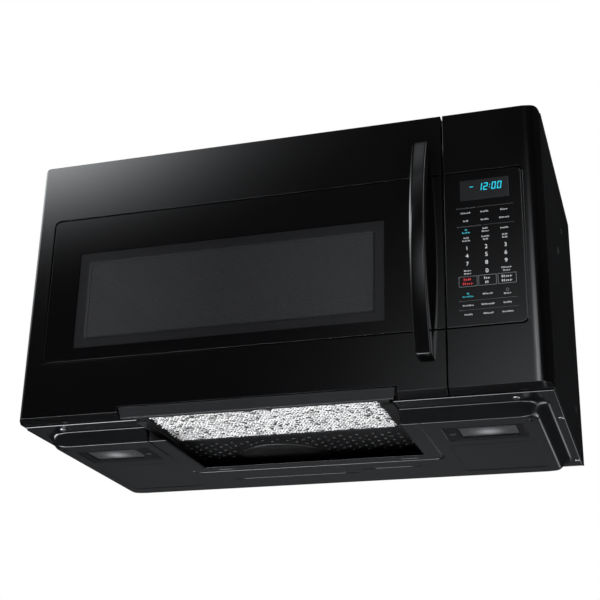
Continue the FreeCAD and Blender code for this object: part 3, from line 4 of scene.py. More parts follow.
import bmesh
import bpy
import numpy as np
from mathutils import Euler, Matrix, Vector

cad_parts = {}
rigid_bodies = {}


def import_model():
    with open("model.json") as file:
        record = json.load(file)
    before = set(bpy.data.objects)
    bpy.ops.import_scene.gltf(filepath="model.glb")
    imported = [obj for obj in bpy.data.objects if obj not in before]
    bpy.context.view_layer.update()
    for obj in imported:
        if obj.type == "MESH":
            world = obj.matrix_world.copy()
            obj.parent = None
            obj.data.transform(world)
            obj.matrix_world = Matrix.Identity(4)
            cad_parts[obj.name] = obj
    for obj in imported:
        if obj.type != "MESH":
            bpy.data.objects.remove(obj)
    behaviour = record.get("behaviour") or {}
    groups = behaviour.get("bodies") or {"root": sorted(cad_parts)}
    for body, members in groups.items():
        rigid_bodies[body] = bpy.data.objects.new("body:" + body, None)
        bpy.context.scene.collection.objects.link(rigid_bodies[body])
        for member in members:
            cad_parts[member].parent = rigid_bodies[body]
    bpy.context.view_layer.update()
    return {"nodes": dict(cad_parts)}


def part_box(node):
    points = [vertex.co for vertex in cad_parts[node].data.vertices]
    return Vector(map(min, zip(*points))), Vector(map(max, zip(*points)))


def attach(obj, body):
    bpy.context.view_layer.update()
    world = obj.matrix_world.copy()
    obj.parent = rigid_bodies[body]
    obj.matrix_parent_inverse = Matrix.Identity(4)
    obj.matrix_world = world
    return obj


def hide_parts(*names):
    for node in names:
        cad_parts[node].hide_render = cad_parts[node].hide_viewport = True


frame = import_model()
nodes = frame["nodes"]
mm = 0.001
print("frame loaded:", len(nodes), "nodes")


# Helpers for node trees, of shaders and of geometry

def join(tree, value, socket):
    # an output is linked, anything else becomes the socket's own value
    if isinstance(value, bpy.types.NodeSocket):
        tree.links.new(value, socket)
    else:
        socket.default_value = value


def newNode(tree, kind, **settings):
    # a setting names an input, with _ for a space, or else a property of the node
    node = tree.nodes.new(kind)
    for label, value in settings.items():
        name = label.replace("_", " ")
        if name in node.inputs:
            join(tree, value, node.inputs[name])
        else:
            setattr(node, label, value)
    return node


def filled(tree, node, *values):
    # sets the inputs in their order
    for socket, value in zip(node.inputs, values):
        join(tree, value, socket)
    return node.outputs[0]


def maths(tree, operation, *values):
    return filled(tree, newNode(tree, "ShaderNodeMath", operation=operation), *values)


def vectorOf(tree, x=0.0, y=0.0, z=0.0):
    return filled(tree, newNode(tree, "ShaderNodeCombineXYZ"), x, y, z)


def axesOf(tree, place):
    return newNode(tree, "ShaderNodeSeparateXYZ", Vector=place).outputs


# Helpers for materials

def startMaterial(name):
    material = bpy.data.materials.new(name)
    material.use_nodes = True
    tree = material.node_tree
    place = newNode(tree, "ShaderNodeTexCoord").outputs["Object"]
    return material, tree, tree.nodes["Principled BSDF"], place


def noiseValue(tree, place, scale, detail=3.0, stretch=(1, 1, 1)):
    mapped = newNode(tree, "ShaderNodeMapping", Scale=stretch, Vector=place).outputs["Vector"]
    return newNode(tree, "ShaderNodeTexNoise", Scale=scale, Detail=detail, Vector=mapped).outputs["Fac"]


def attributeValue(tree, name):
    return newNode(tree, "ShaderNodeAttribute", attribute_name=name).outputs["Fac"]


def ranged(tree, value, low, high, fromLow=0.3, fromHigh=0.7):
    return newNode(tree, "ShaderNodeMapRange", Value=value, From_Min=fromLow, From_Max=fromHigh,
                   To_Min=low, To_Max=high).outputs["Result"]


def mixed(tree, factor, first, second):
    node = newNode(tree, "ShaderNodeMix", data_type="RGBA")
    node.inputs[6].default_value = (*first, 1)
    node.inputs[7].default_value = (*second, 1)
    tree.links.new(factor, node.inputs[0])
    return node.outputs[2]


def softSpot(tree, across, along, reach, base=2.718):
    # 1 where both offsets are 0, with a soft fall over the two reaches
    squares = []
    for offset, size in zip((across, along), reach):
        share = maths(tree, "ABSOLUTE", maths(tree, "DIVIDE", offset, size))
        squares.append(maths(tree, "POWER", share, 2.0))
    return maths(tree, "POWER", base, maths(tree, "MULTIPLY", maths(tree, "ADD", *squares), -1.0))


def coated(tree, shader, colour, rough, relief, strength, depth):
    bump = newNode(tree, "ShaderNodeBump", Strength=strength, Distance=depth, Height=relief)
    tree.links.new(colour, shader.inputs["Base Color"])
    tree.links.new(rough, shader.inputs["Roughness"])
    tree.links.new(bump.outputs["Normal"], shader.inputs["Normal"])


def finish(name, dark, light, rough, grain=400.0, cloud=14.0, bump=0.05, depth=0.0002,
           stretch=(1, 1, 1), **sockets):
    # a colour that drifts slowly over the piece, with a fine grain in gloss and height
    material, tree, shader, place = startMaterial(name)
    drift = ranged(tree, noiseValue(tree, place, cloud), 0, 1)
    fine = noiseValue(tree, place, grain, 4.0, stretch)
    coated(tree, shader, mixed(tree, drift, dark, light), ranged(tree, fine, *rough), fine, bump, depth)
    for label, value in sockets.items():
        shader.inputs[label.replace("_", " ")].default_value = value
    return material


def dress(material, *names):
    for name in names:
        for slot in nodes[name].material_slots:
            slot.material = material


# Helpers for meshes

def sceneObject(name, data):
    thing = bpy.data.objects.new(name, data)
    bpy.context.scene.collection.objects.link(thing)
    return thing


def newPiece(name, mesh, material, body, replaced=()):
    piece = sceneObject(name, mesh)
    mesh.materials.clear()
    mesh.materials.append(material)
    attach(piece, body)
    if replaced:
        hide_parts(*replaced)
    return piece


def thicken(piece, wall):
    # the sheet grows away from the side that its faces look to
    sheet = piece.modifiers.new("sheet", "SOLIDIFY")
    sheet.thickness = wall * mm
    sheet.offset = -1


def meshFrom(name, points, faces, smooth=True):
    mesh = bpy.data.meshes.new(name)
    mesh.from_pydata([tuple(p) for p in points], [], [tuple(f) for f in faces])
    mesh.update()
    if smooth:
        mesh.shade_smooth()
    return mesh


def gridFaces(cells, rows):
    # faces of a grid of points that are counted along the second axis first
    return [(i * rows + j, i * rows + j + 1, (i + 1) * rows + j + 1, (i + 1) * rows + j) for i, j in cells]


def ringFaces(rings, count, first=0):
    # faces between closed rings with the same count of points
    faces = []
    for a in range(first, first + (rings - 1) * count, count):
        for i in range(count):
            j = (i + 1) % count
            faces.append((a + i, a + j, a + count + j, a + count + i))
    return faces


def tidied(mesh, angle):
    # merge doubles, turn every face outwards and mark sharp edges past an angle
    work = bmesh.new()
    work.from_mesh(mesh)
    bmesh.ops.remove_doubles(work, verts=work.verts, dist=1e-6)
    bmesh.ops.recalc_face_normals(work, faces=work.faces)
    for face in work.faces:
        face.smooth = True
    for edge in work.edges:
        edge.smooth = len(edge.link_faces) == 2 and edge.calc_face_angle(0) < math.radians(angle)
    work.to_mesh(mesh)
    work.free()
    return mesh


def joinedMesh(name, meshes):
    points, faces = [], []
    for mesh in meshes:
        base = len(points)
        points += [tuple(v.co) for v in mesh.vertices]
        faces += [tuple(base + i for i in p.vertices) for p in mesh.polygons]
    return meshFrom(name, points, faces, False)


def boxMesh(low, high):
    points = [(x, y, z) for x in (low[0], high[0]) for y in (low[1], high[1]) for z in (low[2], high[2])]
    faces = [(0, 1, 3, 2), (4, 6, 7, 5), (0, 4, 5, 1), (2, 3, 7, 6), (0, 2, 6, 4), (1, 5, 7, 3)]
    return meshFrom("box", points, faces, False)


def softened(name, material, bevel, angle=30.0, shape=None):
    # merged copy of a CAD piece with its sharp edges broken, which then stands for that piece
    source = nodes[name]
    work = bmesh.new()
    work.from_mesh(source.data)
    bmesh.ops.remove_doubles(work, verts=work.verts, dist=1e-6)
    if shape:
        shape(work)
    bmesh.ops.dissolve_limit(work, angle_limit=math.radians(0.3), verts=work.verts, edges=work.edges)
    sharp = [edge for edge in work.edges
             if len(edge.link_faces) == 2 and edge.calc_face_angle(0) > math.radians(angle)]
    bmesh.ops.bevel(work, geom=sharp, offset=bevel * mm, offset_type="OFFSET", segments=2, profile=0.5,
                    affect="EDGES", clamp_overlap=False)
    for face in work.faces:
        face.smooth = True
    mesh = bpy.data.meshes.new(name)
    work.to_mesh(mesh)
    work.free()
    body = source.parent.name.partition(":")[2]
    piece = newPiece(name + "_rounded", mesh, material, body, [name])
    piece.modifiers.new("normals", "WEIGHTED_NORMAL").keep_sharp = True
    return piece


# Helpers for Geometry Nodes

staggerInputs = {"Columns": "NodeSocketInt", "Rows": "NodeSocketInt", "Pitch": "NodeSocketFloat",
                 "Row step": "NodeSocketFloat"}


def staggerValues(columns, rows, pitch, rowStep):
    return {"Columns": columns, "Rows": rows, "Pitch": pitch * mm, "Row step": rowStep * mm}


def startTree(name, inputs):
    tree = bpy.data.node_groups.new(name, "GeometryNodeTree")
    tree.interface.new_socket("Geometry", in_out="INPUT", socket_type="NodeSocketGeometry")
    tree.interface.new_socket("Geometry", in_out="OUTPUT", socket_type="NodeSocketGeometry")
    ids = {}
    for label, kind in inputs.items():
        ids[label] = tree.interface.new_socket(label, in_out="INPUT", socket_type=kind).identifier
    return tree, ids, newNode(tree, "NodeGroupInput").outputs


def endTree(tree, instances, given):
    # every tree ends in real geometry with its material set
    real = newNode(tree, "GeometryNodeRealizeInstances", Geometry=instances).outputs[0]
    coat = newNode(tree, "GeometryNodeSetMaterial", Geometry=real, Material=given["Material"])
    newNode(tree, "NodeGroupOutput", Geometry=coat.outputs[0])


def movedPoints(tree, points, offset):
    return newNode(tree, "GeometryNodeSetPosition", Geometry=points, Offset=offset).outputs[0]


def staggeredPoints(tree, given):
    # rows of points where every second row is moved over by half a pitch
    columns, rows, pitch = given["Columns"], given["Rows"], given["Pitch"]
    sizeX = maths(tree, "MULTIPLY", maths(tree, "SUBTRACT", columns, 1), pitch)
    sizeY = maths(tree, "MULTIPLY", maths(tree, "SUBTRACT", rows, 1), given["Row step"])
    grid = newNode(tree, "GeometryNodeMeshGrid", Vertices_X=columns, Vertices_Y=rows,
                   Size_X=sizeX, Size_Y=sizeY)
    index = newNode(tree, "GeometryNodeInputIndex").outputs[0]
    odd = maths(tree, "MODULO", maths(tree, "MODULO", index, rows), 2)
    shift = maths(tree, "MULTIPLY", maths(tree, "MULTIPLY", odd, pitch), 0.5)
    return movedPoints(tree, grid.outputs[0], vectorOf(tree, shift))


def randomVector(tree, given, reach):
    # between minus and plus the reach
    node = newNode(tree, "FunctionNodeRandomValue", data_type="FLOAT_VECTOR", Seed=given["Seed"])
    return filled(tree, node, tuple(-value for value in reach), reach)


def grownMesh(name, tree, ids, values, startMesh=None):
    carrier = sceneObject(name, startMesh or bpy.data.meshes.new(name))
    modifier = carrier.modifiers.new("grow", "NODES")
    modifier.node_group = tree
    for label, value in values.items():
        modifier[ids[label]] = value
    evaluated = carrier.evaluated_get(bpy.context.evaluated_depsgraph_get())
    mesh = bpy.data.meshes.new_from_object(evaluated)
    carrier.modifiers.clear()
    bpy.data.objects.remove(carrier)
    return mesh


# Finishes that several pieces share

frontPaint = finish("frontPaint", (0.0012, 0.0012, 0.0014), (0.0018, 0.0018, 0.0021), (0.1, 0.14),
                    grain=700, bump=0.012, depth=0.0001)
casePaint = finish("casePaint", (0.0044, 0.0046, 0.0054), (0.0066, 0.0069, 0.008), (0.42, 0.54),
                   grain=1500, bump=0.12, Specular_IOR_Level=0.3)
basePaint = finish("basePaint", (0.0038, 0.004, 0.0048), (0.0055, 0.0058, 0.0068), (0.09, 0.13),
                   grain=1300, cloud=9, bump=0.035)
galvanised = finish("galvanised", (0.36, 0.37, 0.38), (0.5, 0.51, 0.52), (0.32, 0.5),
                    grain=90, cloud=60, bump=0.04, Metallic=0.3)
brightSteel = finish("brightSteel", (0.5, 0.5, 0.5), (0.62, 0.62, 0.61), (0.2, 0.34),
                     grain=300, bump=0.04, stretch=(1, 1, 12), Metallic=0.4)
blackPlastic = finish("blackPlastic", (0.006, 0.006, 0.0065), (0.0095, 0.0095, 0.01), (0.36, 0.48),
                      grain=1100, bump=0.09)
cavityEnamel = finish("cavityEnamel", (0.42, 0.42, 0.4), (0.52, 0.52, 0.5), (0.25, 0.36),
                      grain=500, cloud=220)
whitePlastic = finish("whitePlastic", (0.72, 0.71, 0.68), (0.8, 0.79, 0.76), (0.3, 0.42),
                      grain=800, bump=0.04)
print("shared finishes made")


# Camera, from the photo's perspective

cameraPlan = dict(place=(0.5232, -1.7005, -0.4835), azimuth=17.6, elevation=-22.29, roll=1.31, lens=74.886,
                  sensor=36.0, farthest=100.0)


def makeCamera(plan):
    data = bpy.data.cameras.new("camera")
    data.sensor_width = plan["sensor"]
    data.lens = plan["lens"]
    data.clip_end = plan["farthest"]
    around, above, roll = (math.radians(plan[key]) for key in ("azimuth", "elevation", "roll"))
    level = math.cos(above)
    back = Vector((math.sin(around) * level, -math.cos(around) * level, math.sin(above)))
    right = (-back).cross(Vector((0, 0, 1))).normalized()
    up = right.cross(-back)
    turnedRight = math.cos(roll) * right + math.sin(roll) * up
    turnedUp = -math.sin(roll) * right + math.cos(roll) * up
    matrix = Matrix((turnedRight, turnedUp, back)).transposed().to_4x4()
    matrix.translation = Vector(plan["place"])
    camera = sceneObject("camera", data)
    camera.matrix_world = matrix
    bpy.context.scene.camera = camera


makeCamera(cameraPlan)


# Stage: pale floor, white surround, soft lamps, and cards that only gloss can see

stagePlan = dict(
    floor=-1.37, floorSize=30.0, ambient=0.75, cardTint=(0.94, 0.97, 1, 1),
    # place, size, turn and even glow, then soft patches: centre u and v, reach u and v, strength
    cards=dict(
        front=((0, -3.0, 0), (7.0, 12.0), (90, 0, 0), 0.008, (
            (-2.2, 2.38, 0.68, 0.33, 11.5), (0.21, 0.77, 0.61, 0.59, 1.1), (0.85, 0.95, 0.3, 0.5, 5.0),
            (-0.6, 4.4, 1.6, 1.3, 0.45))),
        left=((-3.3, 0, 0), (6.0, 12.0), (90, 0, 90), 0.02, ((-1.2, 2.35, 1.9, 0.8, 8.5),)),
        right=((3.3, 0, 0), (6.0, 6.4), (90, 0, -90), 0.03, ()),
        back=((0, 2.6, 0.4), (6.6, 6.0), (90, 0, 0), 0.012, (
            (-0.6, -1.15, 1.9, 0.5, 0.09), (0.85, -1.0, 0.25, 0.15, 1.1))),
        top=((0, 0, 4.5), (7.0, 6.4), (180, 0, 0), 0.02, ((-0.6, 1.9, 1.0, 1.0, 0.7),)),
        floor=((0, 0, -1.36), (6.6, 6.0), (0, 0, 0), 0.05, (
            (-1.3, -1.0, 1.5, 0.17, 26.0), (1.6, 0.5, 0.3, 1.2, 6.5), (-0.3, -0.62, 0.38, 0.13, 1.0)))),
    # place, target, side and power
    lamps=dict(
        keyLamp=((-1.8, -2.2, 2.4), (0, 0, 0.2), 1.6, 45),
        fillLamp=((2.2, -1.6, -0.6), (0, 0, 0.1), 1.4, 18),
        lowLamp=((-0.3, -1.1, -1.2), (0, -0.1, 0), 0.9, 16)),
)


def makeWorld(ambient):
    # white to the eye and to gloss and glass, a plain soft light to everything else
    world = bpy.data.worlds.new("surround")
    bpy.context.scene.world = world
    world.use_nodes = True
    tree = world.node_tree
    tree.nodes.clear()
    path = newNode(tree, "ShaderNodeLightPath").outputs
    seen = maths(tree, "MAXIMUM", path["Is Camera Ray"], path["Is Glossy Ray"])
    seen = maths(tree, "MAXIMUM", seen, path["Is Transmission Ray"])
    soft, white = (newNode(tree, "ShaderNodeBackground", Color=(1, 1, 1, 1), Strength=strength).outputs[0]
                   for strength in (ambient, 1.0))
    mix = filled(tree, newNode(tree, "ShaderNodeMixShader"), seen, soft, white)
    newNode(tree, "ShaderNodeOutputWorld", Surface=mix)


def stagePlane(name, centre, size, turn, material):
    x, y = size[0] / 2, size[1] / 2
    mesh = meshFrom(name, [(-x, -y, 0), (x, -y, 0), (x, y, 0), (-x, y, 0)], [(0, 1, 2, 3)], False)
    mesh.materials.append(material)
    plane = sceneObject(name, mesh)
    plane.rotation_euler = [math.radians(t) for t in turn]
    plane.location = centre
    return plane


def cardMaterial(name, glow, patches, tint):
    material, tree, shader, place = startMaterial(name)
    tree.nodes.remove(shader)
    axes = axesOf(tree, place)
    for u, v, reachU, reachV, strength in patches:
        offsets = (maths(tree, "SUBTRACT", axes[0], u), maths(tree, "SUBTRACT", axes[1], v))
        spot = maths(tree, "MULTIPLY", softSpot(tree, *offsets, (reachU, reachV)), strength)
        glow = maths(tree, "ADD", spot, glow)
    emission = newNode(tree, "ShaderNodeEmission", Color=tint, Strength=glow)
    tree.links.new(emission.outputs[0], tree.nodes["Material Output"].inputs["Surface"])
    return material


def makeStage(plan):
    makeWorld(plan["ambient"])
    floorPaint = finish("floorPaint", (0.9, 0.9, 0.9), (0.93, 0.93, 0.93), (0.7, 0.8), grain=30, bump=0.01)
    stagePlane("floor", (0, 0, plan["floor"]), (plan["floorSize"], plan["floorSize"]), (0, 0, 0), floorPaint)
    for name, (place, size, turn, glow, patches) in plan["cards"].items():
        material = cardMaterial(name + "Glow", glow, patches, plan["cardTint"])
        card = stagePlane(name + "Card", place, size, turn, material)
        for kind in ("camera", "diffuse", "transmission", "volume_scatter", "shadow"):
            setattr(card, "visible_" + kind, False)
    for name, (place, target, side, power) in plan["lamps"].items():
        data = bpy.data.lights.new(name, "AREA")
        data.shape = "RECTANGLE"
        data.size = data.size_y = side
        data.energy = power
        lamp = sceneObject(name, data)
        lamp.location = place
        lamp.rotation_euler = (Vector(target) - Vector(place)).to_track_quat("-Z", "Y").to_euler()
        lamp.visible_glossy = False


makeStage(stagePlan)
bpy.context.scene.view_settings.view_transform = "Standard"
print("stage set")


# Base pressing: screw rim, front and side walls and belly with pressed beads, as one sheet

halfWidth, frontY, backY = 379.5, -177.0, 225.0  # of the case, in mm
basePlan = dict(
    edge=(-378.1, 378.1, frontY + 17.0, backY - 0.8), rim=20.0, sheet=0.8,
    rimInner=(-367.0, 367.0, frontY + 48.6, backY - 16.0), rimCorners=(20.0, 24.0),
    belly=(-347.0, 347.0, frontY + 59.8, backY - 60.0), bellyCorners=(13.0, 8.0),
    bend=0.4, frontBend=0.13, frontBendEnd=(340.0, 12.0), frontBendDepth=120.0,
    hem=2.4, hemRise=1.3, frontHem=((0.0, 1.0), (1.25, 0.0)),
    lip=1.8, lipRise=1.0, lampLip=1.4, lampLipRise=1.7, holeCorner=1.0,
    recess=(-174.0, 167.0, frontY, frontY + 214.0),
    gate=(-202.5, 166.5, frontY, frontY + 79.0), gateHeight=1.8,  # where the filter slides out
    lampHoles=((-327.0, -217.0, -88.0, -27.0), (217.0, 327.0, -88.0, -27.0)),
    outline=(-200.0, 193.0, frontY - 60.0, frontY + 240.0), outlineCorner=14.0,
    panels=((-336.0, -216.0, -4.0, 138.0), (212.0, 336.0, -4.0, 138.0)),
    panelRise=0.5, panelCorner=8.0, ramp=1.3,
    beads=((-158.0, -132.0, 52.0), (128.0, 156.0, 52.0), (-150.0, 40.0, 112.0), (70.0, 150.0, 96.0)),
    beadHalf=1.6, beadRise=2.0, beadFoot=1.25, reliefFoot=(0.9, 0.1),
    dimples=((-339.5, -103.0), (339.5, -103.0)), dimpleRadius=4.2, dimpleRise=3.6,
    # grid lines: the usual steps, then closer ones from, to, step; y is counted from the front
    steps=(9.0, 7.0),
    bothSides=((375.3, 378.1, 0.9), (326, 369, 1.4), (327, 330, 0.6)),
    acrossX=((-219, -213, 0.5), (-204, -196, 0.45), (-196, -184, 0.6), (-178, -172, 0.7), (-162, -154, 1.0),
             (-136, -128, 1.0), (124, 132, 1.0), (152, 160, 1.0), (165, 171, 0.7), (177, 189, 0.6),
             (189, 197, 0.45), (211, 217, 0.5)),
    alongY=((17, 18.4, 0.34), (48, 51, 0.3), (51, 57.6, 1.8), (57.6, 60.6, 0.3), (60.6, 69.6, 1.5),
            (69.6, 78.4, 0.9), (87.4, 89.2, 0.45), (150, 152.6, 0.4), (172, 174, 0.5), (213, 217, 0.6),
            (225.5, 236, 0.6), (236, 244, 0.4), (270, 276, 0.45), (286, 292, 0.45),
            (314, 316, 0.5), (338, 388, 2.8)),
)


def roundedDistance(x, y, box, corners):
    # signed distance to a rectangle with its own radius at the front and at the rear corners, negative inside
    cx, cy = (box[0] + box[1]) / 2, (box[2] + box[3]) / 2
    corner = np.where(y < cy, corners[0], corners[1])
    dx = np.abs(x - cx) - (box[1] - box[0]) / 2 + corner
    dy = np.abs(y - cy) - (box[3] - box[2]) / 2 + corner
    outside = np.hypot(np.maximum(dx, 0), np.maximum(dy, 0))
    return outside + np.minimum(np.maximum(dx, dy), 0) - corner


def eased(share):
    share = np.clip(share, 0, 1)
    return share * share * (3 - 2 * share)


def bent(share, bend):
    # a straight ramp from 0 to 1 with a round bend at each end
    slope = 1 / (1 - bend)
    low = slope * share ** 2 / (2 * bend)
    high = 1 - slope * (1 - share) ** 2 / (2 * bend)
    return np.where(share < bend, low, np.where(share > 1 - bend, high, slope * (share - bend / 2)))


def rolledUp(distance, reach, rise, power):
    return rise * np.clip(1 - distance / reach, 0, 1) ** power


def wallShare(x, y, plan):
    # 0 on the rim, 1 on the belly
    toRim = -roundedDistance(x, y, plan["rimInner"], plan["rimCorners"])
    toBelly = roundedDistance(x, y, plan["belly"], plan["bellyCorners"])
    share = toRim / (toRim + np.maximum(toBelly, 1e-9))
    return np.where(toRim <= 0, 0, np.where(toBelly <= 0, 1, share))


def bellyRelief(x, y, plan):
    corners = (plan["outlineCorner"], plan["outlineCorner"])
    ridges = [np.abs(roundedDistance(x, y, plan["outline"], corners))]
    for start, end, beadY in plan["beads"]:
        ridges.append(np.hypot(np.maximum(np.maximum(start - x, x - end), 0), y - beadY))
    relief = sum(plan["beadRise"] * eased(plan["beadFoot"] - ridge / plan["beadHalf"]) for ridge in ridges)
    corners = (plan["panelCorner"], plan["panelCorner"])
    for panel in plan["panels"]:
        toPanel = roundedDistance(x, y, panel, corners)
        relief = relief + plan["panelRise"] * eased(0.5 - toPanel / plan["ramp"])
    corners = (plan["holeCorner"], plan["holeCorner"])
    for hole in plan["lampHoles"]:
        toHole = np.maximum(roundedDistance(x, y, hole, corners), 0)
        relief = relief + rolledUp(toHole, plan["lampLip"], plan["lampLipRise"], 1)
    for dimpleX, dimpleY in plan["dimples"]:
        toDimple = np.hypot(x - dimpleX, y - dimpleY)
        relief = relief + plan["dimpleRise"] * eased(1 - toDimple / plan["dimpleRadius"])
    toRecess = np.maximum(roundedDistance(x, y, plan["recess"], corners), 0)
    return relief + rolledUp(toRecess, plan["lip"], plan["lipRise"], 2)


def baseHeight(x, y, plan):
    share = wallShare(x, y, plan)
    # the front wall bends sharply, the side and rear walls softly
    bendEnd, bendFade = plan["frontBendEnd"]
    sharpness = eased((bendEnd - np.abs(x)) / bendFade) * (y < frontY + plan["frontBendDepth"])
    bend = plan["bend"] + (plan["frontBend"] - plan["bend"]) * sharpness
    x0, x1, y0, y1 = plan["edge"]
    toEdge = np.minimum(np.minimum(x - x0, x1 - x), y1 - y)
    rim = rolledUp(toEdge, plan["hem"], plan["hemRise"], 2) + np.interp(y - y0, *plan["frontHem"])
    foot, fade = plan["reliefFoot"]  # the relief starts at the foot of the wall
    onBelly = eased((share - foot) / fade)
    return plan["rim"] * (1 - bent(share, bend)) + rim + bellyRelief(x, y, plan) * onBelly


def lineSet(low, high, coarse, zones, exact, closest=0.25):
    # coarse lines everywhere, closer ones in each zone (from, to, step), and some exact places
    places = list(np.arange(low, high, coarse)) + [low, high] + list(exact)
    for start, stop, step in zones:
        places = [p for p in places if not (start < p < stop) or p in exact]
        places += list(np.arange(max(start, low), min(stop, high), step))
    places = sorted(p for p in places if low <= p <= high)
    kept = [places[0]]
    for p in places[1:]:
        if p - kept[-1] > closest:
            kept.append(p)
        elif p in exact or p == high:
            kept[-1] = p
    return np.array(kept)


def basePressing(plan):
    x0, x1, y0, y1 = plan["edge"]
    holes = [plan["recess"], *plan["lampHoles"]]
    exactX = [v for hole in holes + [plan["gate"]] for v in hole[:2]]
    exactY = [v for hole in holes + [plan["gate"]] for v in hole[2:] if v > y0]
    zonesX = [zone for a, b, step in plan["bothSides"] for zone in ((-b, -a, step), (a, b, step))]
    zonesY = [(frontY + a, frontY + b, step) for a, b, step in plan["alongY"]]
    xs = lineSet(x0, x1, plan["steps"][0], zonesX + list(plan["acrossX"]), exactX)
    ys = lineSet(y0, y1, plan["steps"][1], zonesY, exactY)
    gridX, gridY = np.meshgrid(xs, ys, indexing="ij")
    midX, midY = np.meshgrid((xs[:-1] + xs[1:]) / 2, (ys[:-1] + ys[1:]) / 2, indexing="ij")

    def inside(box):
        return (midX > box[0]) & (midX < box[1]) & (midY > box[2]) & (midY < box[3])

    cut = inside(plan["gate"]) & (baseHeight(midX, midY, plan) > plan["gateHeight"])
    for hole in holes:
        cut |= inside(hole)
    points = np.stack([gridX, gridY, baseHeight(gridX, gridY, plan)], -1).reshape(-1, 3) * mm
    mesh = meshFrom("base_pressing", points, gridFaces(zip(*np.where(~cut)), len(ys)))
    work = bmesh.new()
    work.from_mesh(mesh)
    bmesh.ops.delete(work, geom=[v for v in work.verts if not v.link_faces], context="VERTS")
    work.to_mesh(mesh)
    work.free()
    piece = newPiece("base_pressing", mesh, basePaint, "cabinet", ["base_plate"])
    thicken(piece, plan["sheet"])


basePressing(basePlan)
print("base pressed")


# Door handle: a bowed bar, broad in front, with rounded ends and two feet on the door

handlePlan = dict(
    x=214.5, half=10.5, low=71.5, high=387.0, endReach=16.0, reach=48.0, bar=14.0, foot=26.0,
    leftRound=5.2, rightRound=2.4, backRound=2.5, endRound=2.6, endDraw=0.45, roundLimit=1.9,
    endSteps=6, stations=56, arc=7,
    # how bright the painted highlight along each edge is, and how that grows from the lower end up
    rightRearHighlight=0.12, rightFrontHighlight=1.0, leftFrontHighlight=0.4, highlightFade=(0.45, 0.9),
)


def handleFinish():
    # gloss black with painted highlights: the right edges and the left front edge are painted paler
    material, tree, shader, place = startMaterial("handlePaint")
    blotch = ranged(tree, noiseValue(tree, place, 60.0), 0.75, 1.0)
    highlighted = maths(tree, "MULTIPLY", attributeValue(tree, "wear"), blotch)
    coated(tree, shader, mixed(tree, highlighted, (0.0022, 0.0022, 0.0025), (0.075, 0.077, 0.082)),
           ranged(tree, noiseValue(tree, place, 500.0), 0.1, 0.15),
           noiseValue(tree, place, 900.0, 4.0), 0.015, 0.0001)
    return material


def bowDepth(z, low, high, endDepth, peak):
    # depth of a circular arc through two ends and a peak at the middle
    half, rise = (high - low) / 2, peak - endDepth
    radius = (half * half + rise * rise) / (2 * rise)
    offset = min(abs(z - (low + high) / 2), half)
    return peak - radius + math.sqrt(radius * radius - offset * offset)


def handleRing(z, plan):
    # the bar's outline at one height, from the right rear corner round to the left rear one
    low, high, end, foot = plan["low"], plan["high"], plan["endRound"], plan["foot"]
    short = max(end - min(z - low, high - z), 0)
    shrink = end - math.sqrt(max(end * end - short * short, 0))
    out = bowDepth(z, low, high, plan["endReach"], plan["reach"]) - plan["endDraw"] * shrink
    inner = 0.0
    if low + foot < z < high - foot:
        inner = bowDepth(z, low + foot, high - foot, 0.0, plan["reach"] - plan["bar"])
    half = plan["half"] - shrink
    left, right = plan["leftRound"], plan["rightRound"]
    fit = min(1.0, plan["roundLimit"] * half / (left + right))
    back = min(plan["backRound"], (out - inner) / 3)
    ring = []
    for cornerX, cornerDepth, radius, start in (
            (half, inner, back, -90), (half, out, right * fit, 0),
            (-half, out, left * fit, 90), (-half, inner, back, 180)):
        signX, signDepth = math.copysign(1, cornerX), 1 if cornerDepth == out else -1
        for i in range(plan["arc"]):
            angle = math.radians(start + 90 * i / (plan["arc"] - 1))
            x = plan["x"] + cornerX - signX * radius + radius * math.cos(angle)
            depth = cornerDepth - signDepth * radius + radius * math.sin(angle)
            ring.append((x, frontY - depth, z))
    return ring


def bowedHandle(plan):
    low, high, end, steps, arc = (plan[key] for key in ("low", "high", "endRound", "endSteps", "arc"))
    lower = [low + end * (1 - math.cos(math.pi * i / (2 * steps))) for i in range(steps)]
    middle = [low + end + (high - low - 2 * end) * i / plan["stations"] for i in range(plan["stations"] + 1)]
    rings = [handleRing(z, plan) for z in lower + middle + [low + high - z for z in reversed(lower)]]
    count = len(rings[0])
    last = (len(rings) - 1) * count
    caps = [tuple(range(count - 1, -1, -1)), tuple(range(last, last + count))]
    mesh = meshFrom("bowed_handle", [Vector(p) * mm for ring in rings for p in ring],
                    ringFaces(len(rings), count) + caps)
    edgeHighlight = [0.0] * count
    # these points carry the painted highlight along each edge
    for i in (2, 3):  # two points of each rounded edge
        edgeHighlight[i] = plan["rightRearHighlight"]
        edgeHighlight[arc + i] = plan["rightFrontHighlight"]
        edgeHighlight[2 * arc + i + 2] = plan["leftFrontHighlight"]
    start, growth = plan["highlightFade"]
    wear = [w * min(1.0, start + growth * index / len(rings)) for index in range(len(rings))
            for w in edgeHighlight]
    mesh.attributes.new("wear", "FLOAT", "POINT").data.foreach_set("value", wear)
    newPiece("bowed_handle", tidied(mesh, angle=40), handleFinish(), "door", ["door_handle"])


bowedHandle(handlePlan)
print("handle bowed")


# Door glass: black enamel with a clear tinted window, over a pierced steel screen

windowPlan = dict(x=(-306.0, 160.0), z=(130.0, 282.0), clear=0.4, border=0.6, edge=1.2, pitch=3.2, hole=1.0,
                  margin=16.0)


def windowMask(tree, axes, plan, inset):
    # 1 inside the window less an inset, 0 outside it
    sides = []
    for output, (low, high) in ((axes[0], plan["x"]), (axes[2], plan["z"])):
        centre, half = (low + high) / 2 * mm, ((high - low) / 2 - inset) * mm
        offset = maths(tree, "ABSOLUTE", maths(tree, "SUBTRACT", output, centre))
        sides.append(ranged(tree, offset, 1.0, 0.0, half - plan["edge"] * mm, half))
    return maths(tree, "MULTIPLY", *sides)


